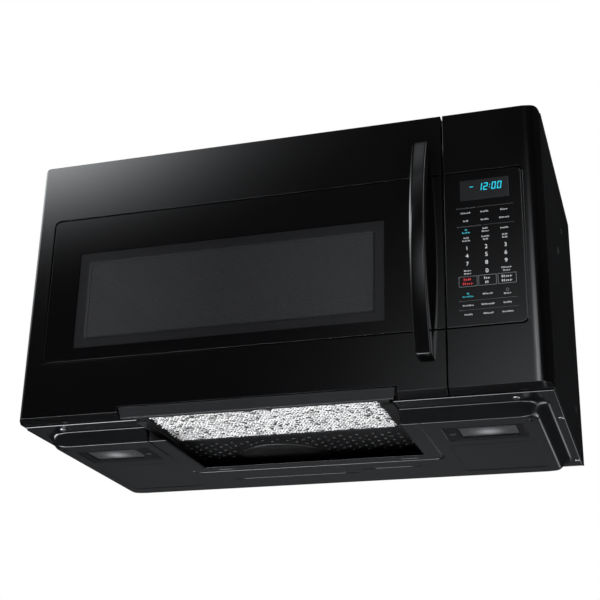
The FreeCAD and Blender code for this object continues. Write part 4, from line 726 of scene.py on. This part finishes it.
def windowGlass(plan):
    # black enamel that thins to a tinted window in two steps
    material, tree, shader, place = startMaterial("windowGlass")
    axes = axesOf(tree, place)
    outer = maths(tree, "MULTIPLY", windowMask(tree, axes, plan, 0.0), 1 - plan["border"])
    inner = windowMask(tree, axes, plan, plan["margin"])
    inner = maths(tree, "MULTIPLY", inner, plan["border"] - plan["clear"])
    tree.links.new(maths(tree, "SUBTRACT", 1.0, maths(tree, "ADD", outer, inner)), shader.inputs["Alpha"])
    ripple = noiseValue(tree, place, 60.0)
    coated(tree, shader, mixed(tree, ripple, (0.0016, 0.0016, 0.0018), (0.0024, 0.0024, 0.0027)),
           ranged(tree, ripple, 0.035, 0.05), noiseValue(tree, place, 8.0, 1.0), 0.01, 0.001)
    return material


glassPane = softened("door_glass", windowGlass(windowPlan), 0.4)
glassPane.visible_shadow = False  # light reaches the screen behind it


def screenFinish(plan):
    # dark steel, with painted light: paler towards both ends of the window, standing in for the glow
    # reflected there
    material, tree, shader, place = startMaterial("screenSteel")
    low, high = plan["x"]
    offset = maths(tree, "SUBTRACT", axesOf(tree, place)[0], (low + high) / 2 * mm)
    ends = ranged(tree, maths(tree, "ABSOLUTE", offset), 0.0, 1.0, 0.0, (high - low) / 2 * mm)
    coated(tree, shader, mixed(tree, ends, (0.074, 0.076, 0.084), (0.128, 0.131, 0.142)),
           ranged(tree, noiseValue(tree, place, 900.0), 0.4, 0.55),
           noiseValue(tree, place, 900.0, 4.0), 0.05, 0.0002)
    return material


def piercedScreen(plan):
    tree, ids, given = startTree("pierced screen", {
        **staggerInputs, "Hole": "NodeSocketFloat", "Material": "NodeSocketMaterial"})
    # each point gets a six-sided tile with a hole
    cellRadius = maths(tree, "DIVIDE", given["Pitch"], math.sqrt(3))
    cell = newNode(tree, "GeometryNodeCurvePrimitiveCircle", Resolution=6, Radius=cellRadius)
    turned = newNode(tree, "GeometryNodeTransform", Rotation=(0, 0, math.pi / 6), Geometry=cell.outputs[0])
    hole = newNode(tree, "GeometryNodeCurvePrimitiveCircle", Resolution=6, Radius=given["Hole"])
    both = newNode(tree, "GeometryNodeJoinGeometry")
    for curve in (turned, hole):
        tree.links.new(curve.outputs[0], both.inputs[0])
    tile = newNode(tree, "GeometryNodeFillCurve", Curve=both.outputs[0])
    spread = newNode(tree, "GeometryNodeInstanceOnPoints", Points=staggeredPoints(tree, given),
                     Instance=tile.outputs[0])
    endTree(tree, spread.outputs[0], given)
    screenSteel = screenFinish(plan)
    margin = plan["margin"]
    (x0, x1), (z0, z1) = ((low + margin, high - margin) for low, high in (plan["x"], plan["z"]))
    rowStep = plan["pitch"] * math.sqrt(3) / 2
    mesh = grownMesh("pierced", tree, ids, {
        **staggerValues(int((x1 - x0) / plan["pitch"]), int((z1 - z0) / rowStep), plan["pitch"], rowStep),
        "Hole": plan["hole"] * mm, "Material": screenSteel})
    low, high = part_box("door_screen")
    centre = Vector(((x0 + x1) / 2 * mm, low.y, (z0 + z1) / 2 * mm))
    mesh.transform(Matrix.Translation(centre) @ Euler((math.pi / 2, 0, 0)).to_matrix().to_4x4())
    xs, zs = [v.co.x for v in mesh.vertices], [v.co.z for v in mesh.vertices]
    left, right, lower, upper = min(xs), max(xs), min(zs), max(zs)
    border = [boxMesh((a, low.y, c), (b, high.y, d)) for a, b, c, d in (
        (low.x, left, low.z, high.z), (right, high.x, low.z, high.z),
        (left, right, low.z, lower), (left, right, upper, high.z))]
    whole = joinedMesh("pierced_screen", [mesh] + border)
    newPiece("pierced_screen", whole, screenSteel, "door", ["door_screen"])


piercedScreen(windowPlan)
print("window screen pierced")


# Touch panel: digits, generic marks, boxes and divider lines, printed on its face, and a painted highlight
# along its lower and right edge

panelPlan = dict(
    face=-176.8, ink=0.05, inkShade=0.86, columns=(274.0, 300.0, 326.0), digitSize=8.4, thin=-0.06,
    digitRows=((223.4, "123"), (212.0, "456"), (200.3, "789"), (188.0, " 0 ")),
    lines=((283.7, 289.0), (256.0, 297.0), (147.1, 272.0), (134.1, 272.0)), lineEnds=(262.0, 339.0),
    lineHeight=0.45, lineMark=2.0, lineMarkShift=0.8,
    boxes=((261.8, 286.6), (288.3, 312.2), (314.0, 338.4)), boxZ=(167.4, 182.4), boxLine=0.55,
    boxRow=174.9, boxMark=1.45, tealRows=(248.8, 155.4),
    # the edge values set the painted highlight line along the panel's lower and right edge
    ring=(326.0, 158.4, 1.9), ringLine=0.5, edge=(244.9, 350.2, 111.8, 337.2), edgeRound=7.3, edgeHighlightWidth=0.4,
    # strokes that stand for a printed word: height, width, step, their tall and short shares, joining bar
    stroke=(2.5, 0.75, 1.9), strokeShares=(1.0, 0.68, 0.72, 0.95, 0.66),
    strokeBar=(-0.35, 0.15), strokeGap=2.1,
    # row height, then for each column the number of strokes in each line of the mark
    marks=(
        (276.3, ((7,), (6,), (5,))), (264.3, ((4,), (6,), (7,))), (248.8, ((2, 6), (4, 5), (6,))),
        (236.8, ((4, 6), (6, 4), (4, 4))), (188.5, ((5, 5), (), (7, 5))), (174.9, ((4, 5), (3, 2), (5, 5))),
        (155.4, ((2, 8), (7,), (0, 5))), (140.6, ((8,), (9,), (6,))), (127.6, ((6,), (7,), (8,)))),
    inks=dict(inkWhite=(0.72, 0.73, 0.75), inkSoft=(0.46, 0.47, 0.49), inkTeal=(0.02, 0.42, 0.5),
              inkRed=(0.62, 0.02, 0.03), inkGrey=(0.14, 0.145, 0.15), inkDim=(0.052, 0.054, 0.058)),
)
inks = {name: finish(name, tuple(panelPlan["inkShade"] * c for c in colour), colour, (0.4, 0.5),
                     grain=2500, bump=0.02)
        for name, colour in panelPlan["inks"].items()}


def printed(name, meshes, ink):
    newPiece(name, joinedMesh(name, meshes), inks[ink], "cabinet")


def inkBox(x0, x1, z0, z1):
    face = panelPlan["face"] * mm
    return boxMesh((x0 * mm, face - panelPlan["ink"] * mm, z0 * mm), (x1 * mm, face, z1 * mm))


def strokes(x, z, count, height, size=1.0):
    # a row of short strokes that stands for a printed word
    plan = panelPlan
    width, step = plan["stroke"][1] * size, plan["stroke"][2] * size
    shares = plan["strokeShares"]
    barLow, barHigh = plan["strokeBar"]
    made = []
    for i in range(count):
        tall = height * shares[(i * 3 + (0 if i == 0 else count)) % len(shares)]
        x0 = x - count * step / 2 + i * step
        made.append(inkBox(x0, x0 + width, z - height / 2, z - height / 2 + tall))
        if i % 2 == 0:
            made.append(inkBox(x0 + width, x0 + step, z + barLow, z + barHigh))
    return made


def inkPath(points, width):
    # a thin printed line along a row of points
    made = []
    face = panelPlan["face"] * mm
    for (xa, za), (xb, zb) in zip(points, points[1:]):
        along = Vector((xb - xa, zb - za)).normalized() * width / 2
        corners = [(xa + along.y, za - along.x), (xb + along.y, zb - along.x), (xb - along.y, zb + along.x),
                   (xa - along.y, za + along.x)]
        front = [(x * mm, face - panelPlan["ink"] * mm, z * mm) for x, z in corners]
        rear = [(x * mm, face, z * mm) for x, z in corners]
        sides = [(i, i + 4, (i + 1) % 4 + 4, (i + 1) % 4) for i in range(4)]
        made.append(meshFrom("line", front + rear, [(0, 1, 2, 3), (7, 6, 5, 4)] + sides, False))
    return made


def arcPoints(cx, cz, radius, start, turn, steps):
    angles = [math.radians(start + turn * i / steps) for i in range(steps + 1)]
    return [(cx + radius * math.cos(angle), cz + radius * math.sin(angle)) for angle in angles]


def printedDigits(plan):
    meshes = []
    for z, row in plan["digitRows"]:
        for x, digit in zip(plan["columns"], row):
            if digit == " ":
                continue
            curve = bpy.data.curves.new("digit", "FONT")
            curve.body = digit
            curve.size = plan["digitSize"] * mm
            curve.extrude = plan["ink"] * mm / 2
            curve.offset = plan["thin"] * mm
            curve.align_x, curve.align_y = "CENTER", "CENTER"
            holder = sceneObject("digit", curve)
            evaluated = holder.evaluated_get(bpy.context.evaluated_depsgraph_get())
            mesh = bpy.data.meshes.new_from_object(evaluated)
            bpy.data.objects.remove(holder)
            place = (x * mm, (plan["face"] - plan["ink"] / 2) * mm, z * mm)
            mesh.transform(Matrix.Translation(place) @ Matrix.Rotation(math.pi / 2, 4, "X"))
            meshes.append(mesh)
    printed("keypad_digits", meshes, "inkWhite")


def printedMarks(plan):
    groups = {"inkSoft": [], "inkTeal": [], "inkRed": []}
    for z, row in plan["marks"]:
        size = plan["boxMark"] if z == plan["boxRow"] else 1.0
        for column, (x, mark) in enumerate(zip(plan["columns"], row)):
            ink = "inkSoft"
            if column == 0 and z in plan["tealRows"]:
                ink = "inkTeal"
            if column == 0 and z == plan["boxRow"]:
                ink = "inkRed"
            gap = plan["strokeGap"] * size
            for count, offset in zip(mark, (0.0,) if len(mark) == 1 else (gap, -gap)):
                groups[ink] += strokes(x, z + offset, count, plan["stroke"][0] * size, size)
    for ink, meshes in groups.items():
        printed("keypad_marks_" + ink[3:].lower(), meshes, ink)


def printedLines(plan):
    half = plan["lineHeight"] / 2
    start, end = plan["lineEnds"]
    dimLinesAndHighlight = []
    for z, lineStart in plan["lines"]:
        dimLinesAndHighlight.append(inkBox(lineStart, end, z - half, z + half))
        count = int((lineStart - start) / plan["stroke"][2])
        dimLinesAndHighlight += strokes((start + lineStart) / 2 - plan["lineMarkShift"], z, count, plan["lineMark"])
    # painted highlight: a pale line where the panel's edge shows below and at its right
    x0, x1, z0, z1 = plan["edge"]
    radius = plan["edgeRound"]
    corner = arcPoints(x1 - radius, z0 + radius, radius, -90, 90, 6)
    upper = arcPoints(x1 - radius, z1 - radius, radius, 0, 45, 3)
    dimLinesAndHighlight += inkPath([(x0, z0)] + corner + upper, plan["edgeHighlightWidth"])
    printed("keypad_lines", dimLinesAndHighlight, "inkDim")
    z0, z1 = plan["boxZ"]
    width = plan["boxLine"]
    boxes = []
    for x0, x1 in plan["boxes"]:
        boxes += [inkBox(x0, x1, z0, z0 + width), inkBox(x0, x1, z1 - width, z1),
                  inkBox(x0, x0 + width, z0 + width, z1 - width),
                  inkBox(x1 - width, x1, z0 + width, z1 - width)]
    boxes += inkPath(arcPoints(*plan["ring"], 90, -360, 16), plan["ringLine"])
    printed("keypad_boxes", boxes, "inkGrey")


printedDigits(panelPlan)
printedMarks(panelPlan)
printedLines(panelPlan)
print("touch panel printed")


# Display: seven-segment clock on a dark lens

displayPlan = dict(x=291.0, z=308.5, width=5.6, height=11.0, line=1.3, step=7.7,
                   slant=0.14, lift=0.05, text="12:00",
                   levelGap=0.2, uprightGap=0.3, dots=(0.28, 0.62), dotStep=3.5, dash=(279.5, 284.5),
                   dashHeight=0.56, dashLine=1.0, glow=(0.0, 0.72, 0.95), glowShade=0.8,
                   glass=(0.01, 0.05, 0.06, 1))
segments = {"0": "abcdef", "1": "bc", "2": "abged", "3": "abgcd", "4": "fgbc", "5": "afgcd", "6": "afgedc",
            "7": "abc", "8": "abcdefg", "9": "abcdfg"}


def clockFinish(plan):
    material, tree, shader, place = startMaterial("clockGlow")
    dimmer = tuple(plan["glowShade"] * c for c in plan["glow"])
    glow = mixed(tree, noiseValue(tree, place, 500.0), dimmer, plan["glow"])
    tree.links.new(glow, shader.inputs["Emission Color"])
    shader.inputs["Base Color"].default_value = plan["glass"]
    shader.inputs["Emission Strength"].default_value = 1.0
    return material


def segmentClock(plan):
    width, height, line = plan["width"], plan["height"], plan["line"]
    inset, gap, half = plan["levelGap"], plan["uprightGap"], height / 2
    level, upper, lower = (inset, width - inset), (half + gap, height - gap), (gap, half - gap)
    left, right = (0, line), (width - line, width)
    bars = {"a": (*level, height - line, height), "g": (*level, half - line / 2, half + line / 2),
            "d": (*level, 0, line), "b": (*right, *upper), "c": (*right, *lower),
            "f": (*left, *upper), "e": (*left, *lower)}
    x = plan["x"]
    rectangles = []
    for sign in plan["text"]:
        if sign == ":":
            rectangles += [(x, x + line, height * share, height * share + line) for share in plan["dots"]]
            x += plan["dotStep"]
            continue
        rectangles += [(x + u0, x + u1, v0, v1) for u0, u1, v0, v1 in (bars[s] for s in segments[sign])]
        x += plan["step"]
    dashZ = height * plan["dashHeight"]
    rectangles.append((*plan["dash"], dashZ, dashZ + plan["dashLine"]))
    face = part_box("display_window")[0].y / mm
    meshes = []
    for x0, x1, z0, z1 in rectangles:
        box = boxMesh((x0, face - plan["lift"], z0), (x1, face, z1))
        for vertex in box.vertices:
            vertex.co.x += plan["slant"] * vertex.co.z
            vertex.co = (vertex.co.x * mm, vertex.co.y * mm, (plan["z"] + vertex.co.z) * mm)
        meshes.append(box)
    newPiece("clock_digits", joinedMesh("clock_digits", meshes), clockFinish(plan), "cabinet")


segmentClock(displayPlan)
print("clock lit")


# Grease filter: expanded aluminium, uneven diamonds of strands on two levels over a core painted dark as
# shade

filterPlan = dict(
    pitch=5.2, rowStep=4.7, breadth=2.1, tilt=1.0, pull=1.0, jitter=(0.08, 0.25, 0.3),
    seed=7, margin=3.0, core=4.4,
    # the last value of each level scales the light the strands are painted with; the deeper layer is painted
    # dark, as painted shade
    levels=((0.5, 0.5, 1.0), (2.4, 0.0, 0.08)),  # height, offset in rows, light
)


def foilFinish():
    # bright foil, with some strands painted dark at random as painted shade, and the deeper layer painted
    # dark as shade
    material, tree, shader, place = startMaterial("foilMetal")
    tone = ranged(tree, attributeValue(tree, "shine"), 0.0, 1.0, 0.06, 0.16)
    coated(tree, shader, mixed(tree, tone, (0.06, 0.06, 0.063), (0.98, 0.98, 0.99)),
           ranged(tree, noiseValue(tree, place, 700.0), 0.25, 0.42),
           noiseValue(tree, place, 900.0, 4.0), 0.15, 0.0003)
    return material


def expandedTree(plan):
    tree, ids, given = startTree("expanded mesh", {
        **staggerInputs, "Breadth": "NodeSocketFloat", "Tilt": "NodeSocketFloat", "Seed": "NodeSocketInt",
        "Material": "NodeSocketMaterial"})
    # each cell is pulled a little out of its row, as in foil that was pressed by hand
    reach = plan["pull"] * mm
    points = movedPoints(tree, staggeredPoints(tree, given), randomVector(tree, given, (reach, reach, 0)))
    # two strands run from each knuckle to its neighbours in the next row
    rowStep = given["Row step"]
    across, along = maths(tree, "DIVIDE", given["Pitch"], 4), maths(tree, "DIVIDE", rowStep, 2)
    lean = maths(tree, "ARCTAN2", maths(tree, "MULTIPLY", across, 2), rowStep)
    length = maths(tree, "DIVIDE", rowStep, maths(tree, "COSINE", lean))
    strand = newNode(tree, "GeometryNodeMeshGrid", Vertices_X=2, Vertices_Y=3,
                     Size_X=given["Breadth"], Size_Y=length)
    cell = newNode(tree, "GeometryNodeJoinGeometry")
    for side in (-1, 1):
        place = vectorOf(tree, maths(tree, "MULTIPLY", across, side), along)
        turn = vectorOf(tree, 0.0, maths(tree, "MULTIPLY", given["Tilt"], side),
                        maths(tree, "MULTIPLY", lean, -side))
        laid = newNode(tree, "GeometryNodeTransform", Geometry=strand.outputs[0],
                       Translation=place, Rotation=turn)
        tree.links.new(laid.outputs[0], cell.inputs[0])
    spread = newNode(tree, "GeometryNodeInstanceOnPoints", Points=points, Instance=cell.outputs[0],
                     Rotation=randomVector(tree, given, plan["jitter"]))
    # each strand gets a random painted light level, which the finish turns into painted shade when low
    randomStrandLight = newNode(tree, "FunctionNodeRandomValue", data_type="FLOAT", Seed=given["Seed"])
    store = newNode(tree, "GeometryNodeStoreNamedAttribute", data_type="FLOAT", domain="INSTANCE",
                    Name="shine", Geometry=spread.outputs[0], Value=randomStrandLight.outputs[1])
    endTree(tree, store.outputs[0], given)
    return tree, ids


def expandedMesh(plan):
    tree, ids = expandedTree(plan)
    low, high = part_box("filter_mesh")
    middle = (low + high) / 2
    foilMetal = foilFinish()
    pitch, rowStep = plan["pitch"], plan["rowStep"]
    # half a cell stays free for the shifted rows and layers
    columns = int(((high.x - low.x) / mm - plan["margin"]) / pitch - 0.5)
    rows = int((high.y - low.y) / mm / rowStep - 0.5)
    layers, paintedStrandLights = [], []
    for rise, offset, light in plan["levels"]:
        mesh = grownMesh("layer", tree, ids, {
            **staggerValues(columns, rows, pitch, rowStep), "Breadth": plan["breadth"] * mm,
            "Tilt": math.radians(plan["tilt"]), "Seed": plan["seed"], "Material": foilMetal})
        shift = Vector((middle.x / mm - pitch / 4, middle.y / mm + (offset - 0.5) * rowStep,
                        low.z / mm + rise)) * mm
        mesh.transform(Matrix.Translation(shift))
        values = [0.0] * len(mesh.vertices)
        mesh.attributes["shine"].data.foreach_get("value", values)
        paintedStrandLights += [value * light for value in values]
        layers.append(mesh)
    whole = joinedMesh("expanded_mesh", layers)
    whole.attributes.new("shine", "FLOAT", "POINT").data.foreach_set("value", paintedStrandLights)
    newPiece("expanded_mesh", whole, foilMetal, "filter", ["filter_mesh"])
    # the deeper layers, as a box painted dark: painted shade between the strands
    padDark = finish("padDark", (0.014, 0.014, 0.015), (0.04, 0.04, 0.042), (0.4, 0.6),
                     grain=900, cloud=500, bump=0.3, Metallic=0.5)
    core = boxMesh((low.x, low.y, low.z + plan["core"] * mm), high)
    newPiece("mesh_core", core, padDark, "filter")


expandedMesh(filterPlan)
print("filter mesh layered")


# Intake plate: pressed collars round its holes, painted paler as painted highlights, and a smooth dish

intakePlan = dict(first=(-186.0, -11.0), pitch=24.0, rowStep=9.4, columns=15, rows=9, clear=76.6, last=156.0,
                  hole=2.25, foot=2.7, depth=0.5, face=23.2, dish=(-58.0, 78.5), dishRadius=70.0,
                  dishDepth=6.0, dishCurve=8, rings=28, spokes=64, sheet=0.8)


def intakeCollars(plan):
    lengths = ("Clear", "Last", "Hole", "Foot", "Depth")
    tree, ids, given = startTree("intake collars", {
        **staggerInputs, "Middle": "NodeSocketVector", "Dish": "NodeSocketVector",
        **{label: "NodeSocketFloat" for label in lengths}, "Material": "NodeSocketMaterial"})
    placed = newNode(tree, "GeometryNodeTransform", Geometry=staggeredPoints(tree, given),
                     Translation=given["Middle"])
    # no collars on the dish or past the last hole
    position = newNode(tree, "GeometryNodeInputPosition").outputs[0]
    toDish = newNode(tree, "ShaderNodeVectorMath", operation="DISTANCE")
    filled(tree, toDish, position, given["Dish"])
    inDish = maths(tree, "LESS_THAN", toDish.outputs["Value"], given["Clear"])
    past = maths(tree, "GREATER_THAN", axesOf(tree, position)[0], given["Last"])
    kept = newNode(tree, "GeometryNodeDeleteGeometry", Geometry=placed.outputs[0],
                   Selection=maths(tree, "MAXIMUM", inDish, past))
    collar = newNode(tree, "GeometryNodeMeshCone", fill_type="NONE", Vertices=12, Radius_Bottom=given["Hole"],
                     Radius_Top=given["Foot"], Depth=given["Depth"])
    spread = newNode(tree, "GeometryNodeInstanceOnPoints", Points=kept.outputs[0],
                     Instance=collar.outputs["Mesh"])
    endTree(tree, spread.outputs[0], given)
    columns, rows, pitch, rowStep = (plan[key] for key in ("columns", "rows", "pitch", "rowStep"))
    z = plan["face"] - plan["depth"]
    middle = Vector((plan["first"][0] + (columns - 1) * pitch / 2,
                     plan["first"][1] + (rows - 1) * rowStep / 2, z)) * mm
    # the collars are painted paler than the plate: painted highlights on the hole rims
    collarMetal = finish("collarMetal", (0.04, 0.041, 0.043), (0.085, 0.086, 0.09), (0.3, 0.45),
                         grain=900, bump=0.1, Metallic=0.3)
    mesh = grownMesh("intake_collars", tree, ids, {
        **staggerValues(columns, rows, pitch, rowStep), "Middle": middle,
        "Dish": Vector((*plan["dish"], z)) * mm,
        **{label: plan[label.lower()] * mm for label in lengths}, "Material": collarMetal})
    newPiece("intake_collars", mesh, collarMetal, "cabinet")


def withoutDish(work):
    # the flat-bottomed dish comes out of the plate's copy
    cx, cy = intakePlan["dish"]
    reach = intakePlan["dishRadius"] + 0.1  # just past its edge
    gone = [face for face in work.faces
            if all(math.hypot(v.co.x / mm - cx, v.co.y / mm - cy) < reach for v in face.verts)]
    bmesh.ops.delete(work, geom=gone, context="FACES")


def roundDish(plan):
    # a smooth bowl in its place, deepest in the middle
    cx, cy = plan["dish"]
    rings, spokes = plan["rings"], plan["spokes"]
    points = [(cx, cy, plan["face"] - plan["dishDepth"])]
    for ring in range(1, rings + 1):
        share = ring / rings
        z = plan["face"] - plan["dishDepth"] * (1 - share ** plan["dishCurve"])
        radius = plan["dishRadius"] * share
        for i in range(spokes):
            angle = 2 * math.pi * i / spokes
            points.append((cx + radius * math.cos(angle), cy + radius * math.sin(angle), z))
    faces = [(0, 1 + (i + 1) % spokes, 1 + i) for i in range(spokes)] + ringFaces(rings, spokes, 1)
    mesh = meshFrom("intake_dish", [Vector(p) * mm for p in points], faces)
    thicken(newPiece("intake_dish", mesh, blackPlastic, "cabinet"), plan["sheet"])


softened("intake_plate", blackPlastic, 0.15, 40.0, withoutDish)
roundDish(intakePlan)
intakeCollars(intakePlan)
print("intake collars pressed")


# Cooktop lamps: domed lenses, painted brighter in the middle as painted light

# glow and the reach after it set where each lens is painted brighter, as painted light
lensPlan = dict(x=(236.5, 316.5), y=(-84.0, -39.0), low=0.8, dome=1.0, wall=1.6, columns=24, rows=14,
                glow=(276.5, -60.0), glowReach=(15.0, 12.0))


def lensFinish(plan):
    material, tree, shader, place = startMaterial("lensGlass")
    axes = axesOf(tree, place)
    # painted light: each lens is painted paler round its glow point
    paintedLightX, paintedLightY = (value * mm for value in plan["glow"])
    across = maths(tree, "SUBTRACT", maths(tree, "ABSOLUTE", axes[0]), paintedLightX)
    along = maths(tree, "SUBTRACT", axes[1], paintedLightY)
    spot = softSpot(tree, across, along, [value * mm for value in plan["glowReach"]])
    mottle = ranged(tree, noiseValue(tree, place, 120.0, stretch=(1, 3, 1)), 0.75, 1.1)
    lit = maths(tree, "MULTIPLY", spot, mottle)
    coated(tree, shader, mixed(tree, lit, (0.042, 0.043, 0.046), (0.31, 0.32, 0.335)),
           ranged(tree, noiseValue(tree, place, 900.0), 0.16, 0.28),
           noiseValue(tree, place, 1500.0), 0.15, 0.0003)
    return material


def domedLenses(plan):
    columns, rows = plan["columns"], plan["rows"]
    u, v = (np.abs(np.linspace(-1, 1, count)) for count in (columns, rows))
    rise = plan["dome"] * np.maximum(u[:, None], v[None, :]) ** 3
    meshes = []
    for side in (-1, 1):
        xs = np.linspace(*sorted(side * x for x in plan["x"]), columns)
        gridX, gridY = np.meshgrid(xs, np.linspace(*plan["y"], rows), indexing="ij")
        points = np.stack([gridX, gridY, plan["low"] + rise], -1).reshape(-1, 3) * mm
        meshes.append(meshFrom("lens", points, gridFaces(np.ndindex(columns - 1, rows - 1), rows)))
    mesh = joinedMesh("domed_lenses", meshes)
    mesh.shade_smooth()
    piece = newPiece("domed_lenses", mesh, lensFinish(plan), "cabinet", ["lamp_lenses"])
    thicken(piece, plan["wall"])


domedLenses(lensPlan)
print("lenses domed")


# Screws: domed heads with a cross recess, set along their own axes

screwPlan = dict(head=4.8, height=1.9, caseHeight=1.0, base=((326.5, -141.0), (372.0, -37.0), (372.0, 189.0)),
                 rim=20.0, case=((135.0, 84.0), (-4.0, 285.0), (73.0, 351.0)),
                 lamp=((226.5, -58.0),), lampFace=0.4, lampHeight=0.36, slot=1.1, slotReach=1.05, spin=0.4)


def screwTree(plan):
    tree, ids, given = startTree("cross screws", {
        "Radius": "NodeSocketFloat", "Height": "NodeSocketFloat", "Slot": "NodeSocketFloat",
        "Turn": "NodeSocketVector", "Material": "NodeSocketMaterial"})
    radius, height, slot = given["Radius"], given["Height"], given["Slot"]
    dome = newNode(tree, "GeometryNodeMeshUVSphere", Segments=20, Rings=10, Radius=radius)
    squash = vectorOf(tree, 1.0, 1.0, maths(tree, "DIVIDE", height, radius))
    head = newNode(tree, "GeometryNodeTransform", Geometry=dome.outputs[0], Scale=squash)
    arms = newNode(tree, "GeometryNodeJoinGeometry")
    reach = maths(tree, "MULTIPLY", radius, plan["slotReach"])
    for size in ((reach, slot, height), (slot, reach, height)):
        arm = newNode(tree, "GeometryNodeMeshCube", Size=vectorOf(tree, *size))
        placed = newNode(tree, "GeometryNodeTransform", Geometry=arm.outputs[0],
                         Translation=vectorOf(tree, 0.0, 0.0, height))
        tree.links.new(placed.outputs[0], arms.inputs[0])
    cut = newNode(tree, "GeometryNodeMeshBoolean", solver="EXACT", operation="DIFFERENCE",
                  Self_Intersection=True, Mesh_1=head.outputs[0], Mesh_2=arms.outputs[0])
    spread = newNode(tree, "GeometryNodeInstanceOnPoints", Points=given["Geometry"], Instance=cut.outputs[0])
    spun = newNode(tree, "GeometryNodeRotateInstances", Instances=spread.outputs[0], Rotation=given["Turn"])
    endTree(tree, spun.outputs[0], given)
    return tree, ids


def crossScrews(plan):
    tree, ids = screwTree(plan)
    screwBlack = finish("screwBlack", (0.34, 0.34, 0.35), (0.46, 0.46, 0.47), (0.28, 0.4),
                        grain=1600, Metallic=1.0)
    down = (math.pi, 0, plan["spin"])
    sets = [([(s * x, y, plan["rim"]) for s in (-1, 1) for x, y in plan["base"]], down, plan["height"]),
            ([(s * x, y, plan["lampFace"]) for s in (-1, 1) for x, y in plan["lamp"]],
             down, plan["lampHeight"])]
    for s in (1, -1):
        places = [(s * halfWidth, y, z) for y, z in plan["case"]]
        sets.append((places, (0, s * math.pi / 2, 0), plan["caseHeight"]))
    meshes = []
    for places, turn, height in sets:
        points = meshFrom("places", [Vector(p) * mm for p in places], [], False)
        meshes.append(grownMesh("heads", tree, ids, {
            "Radius": plan["head"] * mm, "Height": height * mm, "Slot": plan["slot"] * mm, "Turn": turn,
            "Material": screwBlack}, points))
    mesh = tidied(joinedMesh("cross_screws", meshes), angle=35)
    newPiece("cross_screws", mesh, screwBlack, "cabinet", ["screws"])


crossScrews(screwPlan)
print("screws set")


# Control panel: its right side rolls back in a long soft curve

crownPlan = dict(start=353.4, depth=13.0, step=1.3, cadRound=12.0, slack=0.4)


def crowned(work):
    start, radius, slack = crownPlan["start"], crownPlan["cadRound"], crownPlan["slack"]
    for x in np.arange(start, halfWidth - slack, crownPlan["step"]):
        parts = work.verts[:] + work.edges[:] + work.faces[:]
        bmesh.ops.bisect_plane(work, geom=parts, dist=1e-7, plane_co=(x * mm, 0, 0), plane_no=(1, 0, 0))
    for vertex in work.verts:
        x, y = vertex.co.x / mm, vertex.co.y / mm
        if x < start:
            continue
        turn = min(max(x - (halfWidth - radius), 0), radius)
        cadY = frontY + radius - math.sqrt(radius * radius - turn * turn)
        if y < cadY + slack:
            share = min((x - start) / (halfWidth - start), 1)
            vertex.co.y = (frontY + crownPlan["depth"] * (1 - math.sqrt(1 - share * share))) * mm


softened("control_frame", frontPaint, 0.35, 30.0, crowned)


# Pieces that keep their CAD shape but for broken edges

panelGloss = finish("panelGloss", (0.0016, 0.0016, 0.0018), (0.0024, 0.0024, 0.0027), (0.035, 0.05),
                    grain=300, bump=0.01, depth=0.0001)
pullPlastic = finish("pullPlastic", (0.0108, 0.0112, 0.0128), (0.014, 0.0146, 0.0164), (0.26, 0.36),
                     grain=1200, bump=0.07)
filterMetal = finish("filterMetal", (0.02, 0.0205, 0.0215), (0.034, 0.0345, 0.036), (0.35, 0.5),
                     grain=900, bump=0.06, Metallic=0.5)
lampBlack = finish("lampBlack", (0.0022, 0.0022, 0.0025), (0.0034, 0.0034, 0.0038), (0.18, 0.26),
                   grain=1100, Specular_IOR_Level=0.22)
for name, material, bevel in (
        ("door_frame", frontPaint, 0.35), ("control_overlay", panelGloss, 0.4),
        ("filter_pull", pullPlastic, 0.8), ("filter_frame", filterMetal, 0.3),
        ("filter_rails", blackPlastic, 0.3), ("lamp_covers", lampBlack, 0.3),
        ("cabinet_shell", casePaint, 0.3), ("vent_grille", casePaint, 0.3)):
    softened(name, material, bevel)
print("edges softened")


# Finishes of the pieces that keep their CAD shape

dress(finish("displayLens", (0.012, 0.0125, 0.014), (0.015, 0.0155, 0.017), (0.05, 0.08),
             grain=600, bump=0.01), "display_window")
dress(galvanised, "back_plate", "exhaust_cover", "chassis_plate", "waveguide", "blower_housing", "door_choke",
      "hinge_brackets")
dress(brightSteel, "hinge_pins", "weld_nuts", "handle_screws", "latch_spring", "turntable_motor", "fan_motor",
      "blower_motor")
dress(blackPlastic, "choke_cover", "cord_gland", "display_module", "fan_shroud", "latch_bracket",
      "interlock_switches", "charcoal_filter")
dress(cavityEnamel, "face_plate", "cavity_box")
dress(whitePlastic, "turntable_coupler", "roller_ring", "roller_1", "roller_2", "roller_3", "latch_hooks",
      "lamp_sockets", "cooling_fan", "blower_rotor")
dress(finish("clearGlass", (0.86, 0.9, 0.88), (0.92, 0.95, 0.93), (0.02, 0.05), grain=200, bump=0.01,
             Transmission_Weight=1.0), "glass_tray", "door_inner_glass", "lamp_bulbs", "cavity_lamp")
dress(finish("mica", (0.55, 0.5, 0.4), (0.66, 0.61, 0.5), (0.3, 0.5), grain=160, bump=0.06),
      "waveguide_cover")
dress(finish("boardGreen", (0.01, 0.08, 0.035), (0.015, 0.11, 0.05), (0.3, 0.45), grain=700, bump=0.08),
      "control_board")
dress(finish("coreSteel", (0.09, 0.085, 0.08), (0.15, 0.14, 0.13), (0.4, 0.6), grain=300, bump=0.1,
             stretch=(1, 1, 30), Metallic=0.7), "hv_transformer", "magnetron")
dress(finish("canAluminium", (0.6, 0.6, 0.61), (0.7, 0.7, 0.71), (0.25, 0.4), grain=500, Metallic=0.4),
      "hv_capacitor", "hv_diode")
print("finishes set")
